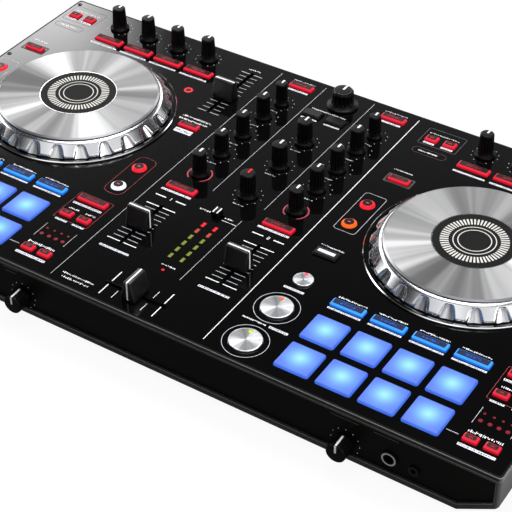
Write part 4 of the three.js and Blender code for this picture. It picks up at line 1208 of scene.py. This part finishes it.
def rim_shell(x, y, phase):
    """The rim: a window w of angle and height draws the radius r in, to r - w * (r - floor).

    The floor is its smallest radius + spread * s + bowl * (share of the way to the window's side)
    squared. With t the share of the height left to the top and a the start, s is
    (1 + a) * t squared / (t + a): it sets out upright and soon runs straight."""
    corners = [
        (57.0, RIM_FOOT),
        (RIM_RADIUS, RIM_FOOT),
        (RIM_RADIUS, RIM_FOOT + 2.3),
        (RIM_SHOULDER, RIM_TOP - 1.0),
        (PLATE_RADIUS + 0.7, RIM_TOP - 0.2),
        (57.0, RIM_TOP - 0.2),
    ]
    profile = fill_in(soften(corners, (0, 1.2, 2.4, 1.2, 0.3, 0), steps=6), RIM_GAP)
    angle = np.linspace(0, 2 * np.pi, RIM_SIDES, endpoint=False)[None, :]
    r, height = profile[:, :1], profile[:, 1:]
    pitch = 2 * np.pi / DIMPLES
    local = (angle - math.radians(phase) + pitch / 2) % pitch - pitch / 2
    across = np.abs(local) * RIM_RADIUS
    half = SCOOP_HALF - SCOOP_TAPER * height
    left = np.clip((SCOOP_TOP[1] - height) / (SCOOP_TOP[1] - RIM_FOOT), 0, 1)
    run = (1 + SCOOP_START) * left**2 / (left + SCOOP_START)
    floor_radius = SCOOP_FLOOR + SCOOP_SPREAD * run + SCOOP_BOWL * (across / half) ** 2
    window = (1 - ramp_up(across, half - 2.0, half + 0.5)) * (1 - ramp_up(height, *SCOOP_TOP))
    r = r - np.maximum(r - floor_radius, 0) * window
    z = PANEL_TOP + height + 0 * angle
    return loft(np.stack([x + r * np.cos(angle), y + r * np.sin(angle), z], -1))


def plan_uv(shell, x, y):
    """UV of a disc: its plan round its own axis, in plate radii."""
    return (shell[0][:, :2] - [x, y]) / PLATE_RADIUS


def turned_plan(points, angle):
    """Plan points turned round the origin by an angle."""
    c, s = math.cos(angle), math.sin(angle)
    return np.asarray(points) @ np.array([[c, s], [-s, c]])


PLATE_RINGS, PLATE_BEVEL, PLATE_THICKNESS = 24, 1.4, 1.5
LABEL_DASHES, DASH = 56, ((18.0, -0.55), (24.0, -0.7), (24.0, 0.7), (18.0, 0.55))
for side, (x, y) in DECKS.items():
    piece(
        side + "_jog_rim",
        [(rim_shell(x, y, DIMPLE_PHASE[side]), CHROME)],
        side + "_jog",
        [side + "_jog_wheel"],
        angle=50,
    )
    low = box_mm(side + "_jog_plate")[0][2]
    high = low + PLATE_THICKNESS
    flat = PLATE_RADIUS - PLATE_BEVEL
    face = [(r, high) for r in np.linspace(flat - 0.1, LABEL_RADIUS + 0.6, PLATE_RINGS)]
    profile = [(2.0, low), (PLATE_RADIUS, low), (PLATE_RADIUS, high - 1.0), *face, (2.0, high)]
    plate = revolve(profile, 360, x, y)
    section = [
        (PLATE_RADIUS, high - 0.95),
        (flat, high + 0.03),
        (flat - 0.1, high - 0.1),
        (PLATE_RADIUS - 0.2, high - 1.1),
    ]
    bevel = revolve(section, 360, x, y, closed=True)
    profile = [(2.0, high), (LABEL_RADIUS, high), (LABEL_RADIUS, high + 0.08), (2.0, high + 0.08)]
    label = revolve(profile, 192, x, y)
    edge = ring_band(LABEL_RADIUS + 0.1, LABEL_RADIUS + 0.7, high, high + 0.12, 192, x, y)
    ink_low, ink_high = high + 0.09, high + 0.12
    prints = [ring_band(r, r + 0.7, ink_low, ink_high, 128, x, y) for r in (11.25, 14.6)]
    for i in range(LABEL_DASHES):
        dash = turned_plan(DASH, 2 * np.pi * i / LABEL_DASHES)
        prints.append(slab(dash, x, y, ink_low, ink_high))
    piece(
        side + "_jog_disc",
        [
            (plate, SPUN, plan_uv(plate, x, y)),
            (bevel, CUT_EDGE),
            (label, LABEL),
            (edge, BRIGHT_EDGE),
            *[(mark, LABEL_INK) for mark in prints],
        ],
        side + "_jog",
        [side + "_jog_plate"],
    )
print("jog wheels made, a rim of", made_pieces["left_jog_rim"], "faces")

# %% [markdown]
# Knobs are moulded with fine ribs for grip. A rib is a small wave in the radius: the radius is
# drawn in by a cosine of the angle, only on the stretch between the foot and the cap. The white
# bar on the cap shows where the knob points.

# %% Knobs
KNOB_SIDES, KNOB_RIBS = 160, 16
# height over the panel, cap, waist, foot radius, foot height
KNOB_KINDS = {
    "tall": (20.5, 5.2, 5.9, 7.2, 2.6),
    "trim": (19.5, 4.6, 5.1, 6.2, 2.4),
    "centre": (20.5, 5.7, 6.4, 8.0, 2.6),
    "effect": (20.2, 5.3, 6.2, 8.0, 2.8),
    "browse": (15.0, 8.5, 8.7, 12.6, 2.6),
}
BAR_WIDTH, BAR_RISE = 1.5, 0.12


def knob_kind(node):
    """Which kind of knob a node is, from its name."""
    if "browse" in node or "trim" in node or "effect" in node:
        return next(k for k in ("browse", "trim", "effect") if k in node)
    return "centre" if node in ("main_level_knob", "monitor_mix_knob", "sample_level_knob") else "tall"


def ribs(low, high, fade, share):
    """A wave for revolve that takes up to a share off the radius in each groove.

    The depth goes as the square of (1 - cos(ribs * angle)) / 2. The grooves set in over the first
    millimetre above low, and fade out below high."""

    def wave(angle, z):
        """The factor of the radius at an angle and a height."""
        inside = ramp_up(z, low, low + 1.0) * (1 - ramp_up(z, high - fade, high))
        return 1 - share * inside * (0.5 - 0.5 * np.cos(KNOB_RIBS * angle)) ** 2

    return wave


def ribbon(under, over, half, x=0.0, y=0.0):
    """A bar bent along a path: its lower and its upper line are (y, z) points, half is its half width."""
    rings = [
        [(x - half, y + a, b), (x - half, y + c, d), (x + half, y + c, d), (x + half, y + a, b)]
        for (a, b), (c, d) in zip(under, over)
    ]
    return loft(rings)


def knob_parts(x, y, kind, pointer):
    """A ribbed body and its white bar, which lies on the cap and turns down over its edge."""
    reach, cap, waist, foot, collar = KNOB_KINDS[kind]
    base, top = PANEL_TOP + 0.5, PANEL_TOP + reach - BAR_RISE
    bevel = 1.6 if kind == "browse" else 0.6
    flat = cap - bevel
    corners = [
        (3.0, base - 7.0),
        (3.0, base),
        (foot, base),
        (foot, base + 0.5 * collar),
        (waist, base + collar),
        (cap, top - bevel),
        (flat, top - 0.02),
        (0.5, top - 0.02),
    ]
    profile = fill_in(soften(corners, (0, 0, 0.4, 0.7, 0.9, 0.5, 0.5, 0)), 1.2, upright=True)
    wave = ribs(base + collar + 0.8, top - bevel - 0.4, 0.8, 0.15)
    low, high, end = top - 0.05, top + BAR_RISE, top - 5.0
    under = [(0.3, low), (flat + 0.1, low), (cap + 0.08, top - bevel - 0.1), (cap + 0.25, end)]
    over = [(0.3, high), (flat + 0.2, high), (cap + 0.3, top - bevel), (cap + 0.45, end)]
    parts = [
        (revolve(profile, KNOB_SIDES, x, y, wave), KNOB),
        (ribbon(under, over, BAR_WIDTH / 2, x, y), pointer),
    ]
    # On the browse knob a thin bright metal ring round the flat of the cap is a painted highlight.
    if kind == "browse":
        ring = ring_band(flat - 0.1, flat + 0.12, top - 0.1, top, KNOB_SIDES, x, y)
        parts.append((ring, BRIGHT_EDGE))
    return parts


for node in PANEL_KNOBS:
    x, y = middle(node)[:2]
    pointer = RED_LAMP if node == "sample_level_knob" else WHITE_INK
    piece(node + "_cap", knob_parts(x, y, knob_kind(node), pointer), node, [node])
print("knobs made, one of", made_pieces["channel_1_high_knob_cap"], "faces")

# %% [markdown]
# A fader's cap is a wedge: one section carried across it, with sides that lean in to a narrow
# ridge. The section is drawn in at both ends, which rounds them. A white line runs along the
# ridge, and on the mixer's faders also down both ends.

# %% Slider caps
CAP_WIDTH, CAP_HALF, CAP_RIDGE, CAP_HEIGHT, CAP_FOOT, CAP_LIFT = 17.8, 5.5, 2.6, 15.6, 0.8, 2.2
CAP_EDGE, CAP_LINE, CAP_LINE_RISE = 0.7, 0.6, 0.08
SHAFT_FOOT = box_mm("crossfader")[0][2]


def slider_parts(x, y, sideways, line_down):
    """Cap, stem and white line of a slider. A sideways one is turned a quarter round its axis.

    The line runs down both ends, or along the ridge only."""
    low, top = PANEL_TOP + CAP_FOOT, PANEL_TOP + CAP_FOOT + CAP_HEIGHT
    half_section = [(CAP_HALF, low), (CAP_HALF, low + CAP_LIFT), (CAP_RIDGE, top)]
    section = half_section + [(-across, z) for across, z in reversed(half_section)]
    section = soften(section, (0.3, 1.6, 0.9, 0.9, 1.6, 0.3), closed=True)
    turn, end = np.linspace(0, np.pi / 2, 5), CAP_WIDTH / 2
    ends = [(end - CAP_EDGE * (1 - math.sin(t)), CAP_EDGE * (1 - math.cos(t))) for t in turn]
    rings = []
    for place, inset in [(-place, inset) for place, inset in reversed(ends)] + ends:
        drawn = grow(section, -inset)
        rings.append(np.column_stack([np.full(len(drawn), place), drawn[:, 0], drawn[:, 1]]))
    corners = [(-end, low + 0.8), (-end, top), (end, top), (end, low + 0.8)]
    path = soften(corners, CAP_EDGE * 1.2, steps=5)
    if not line_down:
        path = path[np.abs(path[:, 0]) < end - 0.1]
    away = path - [0.0, low]
    rise = CAP_LINE_RISE * away / np.linalg.norm(away, axis=1)[:, None]
    line_rings = [
        [[a, -CAP_LINE, b], [c, -CAP_LINE, d], [c, CAP_LINE, d], [a, CAP_LINE, b]]
        for (a, b), (c, d) in zip(path - 3 * rise, path + rise)
    ]
    stem = rounded_block(0, 0, STEM_ACROSS, STEM_ALONG, 0.3, [(0, SHAFT_FOOT), (0, low + 3.0)])
    shells = ((loft(rings), CAP_PLASTIC), (loft(line_rings), WHITE_INK), (stem, STEEL))
    out = []
    for (points, faces), material in shells:
        px, py, pz = points.T
        across, along = (-py, px) if sideways else (px, py)
        out.append(((np.column_stack([across + x, along + y, pz]), faces), material))
    return out


for node in FADERS:
    x, y = middle(node)[:2]
    parts = slider_parts(x, y, node == "crossfader", "tempo" not in node)
    piece(node + "_cap", parts, node, [node])

low, high = box_mm("centre_slide_switch")
x, y = ((low + high) / 2)[:2]
nub = rounded_block(x, y, 6.0, 7.5, 0.8, round_edge(high[2] - 4.0, high[2] - 0.1, 0.5))
shank = rounded_block(x, y, SHANK_ALONG, STEM_ACROSS, 0.3, [(0, low[2]), (0, high[2] - 2.0)])
lines = [bar(x + way * 1.75, y, 0.9, 6.6, high[2] - 0.15, high[2]) for way in (-1, 1)]
piece(
    "slide_switch_nub",
    [(nub, KNOB), (shank, KNOB), *[(line, WHITE_INK) for line in lines]],
    "centre_slide_switch",
    ["centre_slide_switch"],
)
print("slider caps made")

# %% [markdown]
# Play, cue and sync are turned aluminium discs, each with one small lamp near its edge.

# %% Transport discs
DISC_PROUD, FLANGE, FLANGE_TOP = 1.5, 1.5, 42.2
for side in DECKS:
    for name, y, radius, _, lamp in TRANSPORT:
        node = f"{side}_{name}"
        x, y = deck_place(side, TRANSPORT_X, y)
        low = box_mm(node)[0][2]
        top = PANEL_TOP + DISC_PROUD - 0.08
        outer = [(radius + FLANGE, low), (radius + FLANGE, FLANGE_TOP), (radius, FLANGE_TOP)]
        rounded = soften([(radius, FLANGE_TOP), (radius, top), (radius - 1.5, top)], 0.5)[1:]
        face = [(r, top) for r in np.linspace(radius - 1.5, 1.0, 10)]
        disc = revolve([(1.0, low), *outer, *rounded.tolist(), *face[1:]], 144, x, y)
        uv = plan_uv(disc, x, y)
        at = (x - 0.12 * radius, y + 0.72 * radius)
        glow = revolve([(1.5, top - 0.02), (1.5, top + 0.04), (0.5, top + 0.08)], 28, *at)
        piece(node + "_disc", [(disc, SPUN_BUTTON, uv), (glow, lamp)], node, [node])
print("transport discs made")

# %% [markdown]
# The two knobs on the front face are revolved upright and then tipped forward: a point (x, y, z)
# goes to (x, -z, y).

# %% Front knobs
FRONT_CAP, FRONT_FOOT, FRONT_REACH, FRONT_BAR_HALF = 7.0, 7.6, 11.0, 0.7


def tipped(shell, x, y, z):
    """A shell made round the upright axis, tipped so that its top faces the front, and placed."""
    points, faces = shell
    return np.column_stack([points[:, 0] + x, y - points[:, 2], points[:, 1] + z]), faces


for node in FRONT_KNOBS:
    low, high = box_mm(node)
    x, _, z = middle(node)
    long = high[1] - low[1]
    foot, face, end = long - FRONT_REACH - 0.5, long - 0.1, long - 10
    corners = [(3.0, 0.0), (3.0, foot), (FRONT_FOOT, foot), (FRONT_CAP, face), (0.5, face)]
    profile = fill_in(soften(corners, (0, 0, 0.6, 0.8, 0)), 1.0, upright=True)
    wave = ribs(long - FRONT_REACH + 1.5, long - 2.0, 1.0, 0.05)
    dip = long - 0.12
    under = [(0.8, dip), (FRONT_CAP - 0.6, dip), (FRONT_CAP - 0.1, long - 0.9), (7.35, end)]
    over = [(0.8, long), (FRONT_CAP - 0.5, long), (FRONT_CAP + 0.1, long - 0.8), (7.65, end)]
    shells = (
        (revolve(profile, KNOB_SIDES, wave=wave), KNOB),
        (ribbon(under, over, FRONT_BAR_HALF), WHITE_INK),
    )
    parts = [(tipped(shell, x, high[1], z), material) for shell, material in shells]
    piece(node + "_cap", parts, node, [node])
print("front knobs made")

# %% [markdown]
# The front sheet carries a few fine lines, and dots round its knobs. The large jack has a thin
# bright ring round its mouth. They are made upright and tipped forward like the knobs.

# %% Marks of the front
SHEET_FACE, FRONT_DOT_RING = box_mm("front_panel")[0][1], 10.5
# x0, x1 and how far below the panel's face
FRONT_LINES = ((158.0, 179.0, 9.5), (189.5, 207.0, 9.5), (-106.0, -93.0, 8.0), (-104.0, -95.0, 11.0))
front_marks = []
for x0, x1, down in FRONT_LINES:
    line = bar((x0 + x1) / 2, 0.0, x1 - x0, 0.35, -0.05, 0.05)
    front_marks.append((tipped(line, 0.0, SHEET_FACE, PANEL_TOP - down), DIM_INK))
for node in FRONT_KNOBS:
    x, _, z = middle(node)
    for angle in np.linspace(DOT_START, DOT_END, DOT_COUNT):
        across, up = FRONT_DOT_RING * math.cos(angle), FRONT_DOT_RING * math.sin(angle)
        spot = dot(across, up, 0.35, -0.05, 0.05)
        front_marks.append((tipped(spot, x, SHEET_FACE, z), WHITE_INK))
piece("front_print", front_marks, "case")
x, _, z = middle("microphone_jack")
ring = tipped(ring_band(4.0, 5.0, -0.05, 0.1, 64, 0.0, 0.0), x, box_mm("microphone_jack")[0][1], z)
piece("jack_ring", [(ring, BRIGHT_EDGE)], "case")
print("front marks:", len(front_marks))

# %% [markdown]
# Lamps behind the panel show as small lit windows in it.

# %% Lamps
METER_X, METER_Y, METER_PITCH, METER_ROWS = (-8.1, 1.8), 66.2, 8.1, 6
METER_COLOURS = (*[GREEN_LAMP] * (METER_ROWS - 2), SALMON_LAMP, RED_LAMP)
DECK_LAMP = (57.8, 244.6)
lamps = []
for x in METER_X:
    for i, colour in enumerate(METER_COLOURS):
        lamps.append((bar(x, FRONT + METER_Y + i * METER_PITCH, 2.3, 4.8), colour))
lamps.append((dot(-3.5, FRONT + 50.4, 1.1, sides=20), RED_LAMP))
for side in DECKS:
    x, y = deck_place(side, *DECK_LAMP)
    lamps.append((dot(x, y, 3.6, sides=32), RED_LAMP))
    lamps.append((dot(x, y, 2.2, OVER_LOW, OVER_HIGH, 24), DARK_CENTRE))
    for x in (75.1, 81.6, 87.7, 93.7):
        lamps.append((dot(*deck_place(side, x, 37.3), 1.5, sides=20), DIM_RED_LAMP))
        lamps.append((dot(*deck_place(side, x - 0.3, 44.1), 0.9, sides=20), DIM_RED_LAMP))
piece("panel_lamps", lamps, "case")
print("lamps:", len(lamps))

# %% [markdown]
# Screws hold the panel along its side edges, and the feet are moulded rubber.

# %% Screws and feet
SCREW_RADIUS, SCREW_HEIGHT = 1.9, 0.5
SCREW_SECTION = [
    (SCREW_RADIUS, PANEL_TOP - 0.3),
    (SCREW_RADIUS, PANEL_TOP + SCREW_HEIGHT),
    (0.9, PANEL_TOP + SCREW_HEIGHT),
    (0.7, PANEL_TOP + 0.1),
    (0.1, PANEL_TOP + 0.1),
]
screw_profile = soften(SCREW_SECTION, (0, 0.3, 0.1, 0.1, 0))
screws = [
    (revolve(screw_profile, 32, x, FRONT + y), DARK_STEEL) for x in (-272.0, 272.0) for y in (210.0, 304.7)
]
piece("panel_screws", screws, "case")
for node in ("foot_front_left", "foot_front_right", "foot_rear_left", "foot_rear_right"):
    moulded(node + "_rubber", node, RUBBER, 0.5, 2)

KEPT_NODES = {
    "main_board": BOARD,
    "microphone_jack": DARK_STEEL,
    "headphone_jack": DARK_STEEL,
    "left_jog_spindle": STEEL,
    "right_jog_spindle": STEEL,
}
for node, material in KEPT_NODES.items():
    mesh = frame["nodes"][node].data
    mesh.materials.clear()
    mesh.materials.append(material)
print("screws:", len(screws), "nodes kept:", len(KEPT_NODES))

# %% [markdown]
# The stage is a white floor under three softboxes. The camera sees the floor almost plain white,
# with a trace of the object's shadow. What shines back from the object is a room that only rays of
# reflection see. Behind the left stands a bright wall, and the panel mirrors its upper edge as a
# grey corner. A window reaches higher at one side of it, and dusk lies above it. Patches of light
# and a bright band behind the camera make the chrome shine. Everything else is dark.

# %% Stage
FLOOR_RADIUS, FLOOR_SIDES, FLOOR_NEAR, FLOOR_PLAIN = 8.0, 96, 0.3, 0.5
FLOOR_SPLIT, FLOOR_LIGHT = (0.26, 0.34), (0.22, 1.8)
floor_points = np.column_stack([circle(FLOOR_RADIUS, FLOOR_SIDES), np.zeros(FLOOR_SIDES)])
floor_mesh = bpy.data.meshes.new("floor")
floor_mesh.from_pydata(floor_points.tolist(), [], [list(range(FLOOR_SIDES))])
floor = new_object("floor", floor_mesh)


def light(tree, strength, kind="ShaderNodeEmission"):
    """A shader that only gives white light."""
    return add(tree, kind, {"Color": (1, 1, 1, 1), "Strength": strength}).outputs[0]


def mixed(tree, share, first, second):
    """The first shader where the share is 0, and the second where it is 1."""
    return add(tree, "ShaderNodeMixShader", {0: share, 1: first, 2: second}).outputs["Shader"]


floor_paper = bpy.data.materials.new("white_paper_floor")
floor_paper.use_nodes = True
tree = floor_paper.node_tree
tree.nodes.clear()
place = add(tree, "ShaderNodeTexCoord").outputs["Object"]
path = add(tree, "ShaderNodeLightPath").outputs
away = vector(tree, "LENGTH", {0: place}, "Value")
paper = add(tree, "ShaderNodeBsdfDiffuse", {"Color": (0.9, 0.9, 0.9, 1)}).outputs[0]
plain = smooth_step(tree, away, FLOOR_NEAR, FLOOR_PLAIN, 0.93, 1.0)
seen = mixed(tree, plain, paper, light(tree, 1.0))
beside = add(tree, "ShaderNodeSeparateXYZ", {"Vector": place}).outputs["X"]
mirrored = light(tree, smooth_step(tree, beside, *FLOOR_SPLIT, *FLOOR_LIGHT))
blend = mixed(tree, path["Is Camera Ray"], mirrored, seen)
add(tree, "ShaderNodeOutputMaterial", {"Surface": blend})
floor_mesh.materials.append(floor_paper)

world = bpy.data.worlds.new("room")
world.use_nodes = True
bpy.context.scene.world = world
tree = world.node_tree
tree.nodes.clear()
BACKGROUND = "ShaderNodeBackground"
BACK_LEFT, LEFTWARDS = (-0.643, 0.766, 0.0), (-0.779, -0.627, 0.0)
WALL_EDGE, WALL_SIDE, WALL_FOOT, WALL_LIGHT = (0.455, 0.49), (0.2, 0.5), (0.18, 0.38), 5.0
DUSK_EDGE, DUSK_LIGHT = (0.5, 0.68), 0.22
WINDOW_EDGE, WINDOW_SIDE, WINDOW_LIGHT = (0.495, 0.575), (-0.042, 0.036), 7.6
FRONT_SIDE, FRONT_TOP, FRONT_LIGHT = (-0.1, -0.45), (0.7, 0.92, 1.0, 0.4), 1.6
PATCH_EDGE, PATCH_FOOT = (0.42, 0.6), (0.1, 0.5, 0.3, 1.0)
BAND_EDGE, BAND_LIGHT = (0.42, 0.6), 1.15
ROOM_LIGHT, DARK_LIGHT = 0.3, 0.04
towards = add(tree, "ShaderNodeTexCoord").outputs["Generated"]
path = add(tree, "ShaderNodeLightPath").outputs
height = add(tree, "ShaderNodeSeparateXYZ", {"Vector": towards}).outputs["Z"]
back = vector(tree, "DOT_PRODUCT", {0: towards, 1: BACK_LEFT}, "Value")
side = vector(tree, "DOT_PRODUCT", {0: towards, 1: LEFTWARDS}, "Value")
dusk = smooth_step(tree, height, *DUSK_EDGE, DUSK_LIGHT, 0.0)
window = smooth_step(tree, height, *WINDOW_EDGE, WINDOW_LIGHT, 0.0)
window = maths(tree, "MULTIPLY", window, smooth_step(tree, side, *WINDOW_SIDE))
wall = maths(tree, "ADD", smooth_step(tree, height, *WALL_EDGE, WALL_LIGHT, 0.0), dusk)
wall = maths(tree, "MAXIMUM", wall, window)
wall = maths(tree, "MULTIPLY", wall, smooth_step(tree, back, *WALL_SIDE))
wall = maths(tree, "MULTIPLY", wall, smooth_step(tree, height, *WALL_FOOT))
patches = noise(tree, {"Vector": towards, "Scale": 2.3, "Detail": 1.0})
patches = smooth_step(tree, patches, *PATCH_EDGE, 0.3, FRONT_LIGHT)
patches = maths(tree, "MULTIPLY", patches, smooth_step(tree, height, *PATCH_FOOT))
patches = maths(tree, "MAXIMUM", patches, smooth_step(tree, height, *BAND_EDGE, 0.0, BAND_LIGHT))
front = smooth_step(tree, back, *FRONT_SIDE)
front = maths(tree, "MULTIPLY", front, smooth_step(tree, height, *FRONT_TOP))
front = maths(tree, "MULTIPLY", front, patches)
shine = maths(tree, "ADD", maths(tree, "ADD", wall, front), DARK_LIGHT)
plain_room, shining_room = light(tree, ROOM_LIGHT, BACKGROUND), light(tree, shine, BACKGROUND)
room = mixed(tree, path["Is Glossy Ray"], plain_room, shining_room)
backdrop = mixed(tree, path["Is Camera Ray"], room, light(tree, 1.0, BACKGROUND))
add(tree, "ShaderNodeOutputWorld", {"Surface": backdrop})


def lamp(name, place, target, width, depth, power):
    """A rectangular area lamp at a place, turned towards a target, hidden from the camera."""
    data = bpy.data.lights.new(name, "AREA")
    data.shape, data.size, data.size_y = "RECTANGLE", width, depth
    data.energy = power
    made = new_object(name, data)
    made.location = place
    made.rotation_mode = "QUATERNION"
    made.rotation_quaternion = (Vector(target) - Vector(place)).to_track_quat("-Z", "Y")
    made.visible_camera = False


lamp("overhead_softbox", (0.0, 0.1, 1.9), (0.0, 0.0, 0.0), 1.6, 1.3, 24.0)
lamp("rear_softbox", (-0.1, 0.55, 1.45), (0.12, 0.0, 0.0), 0.6, 0.4, 12.0)
lamp("right_softbox", (1.5, -0.1, 0.5), (0.1, 0.0, 0.03), 0.9, 0.6, 9.0)

bpy.context.scene.view_settings.view_transform = "Standard"
print("stage made")
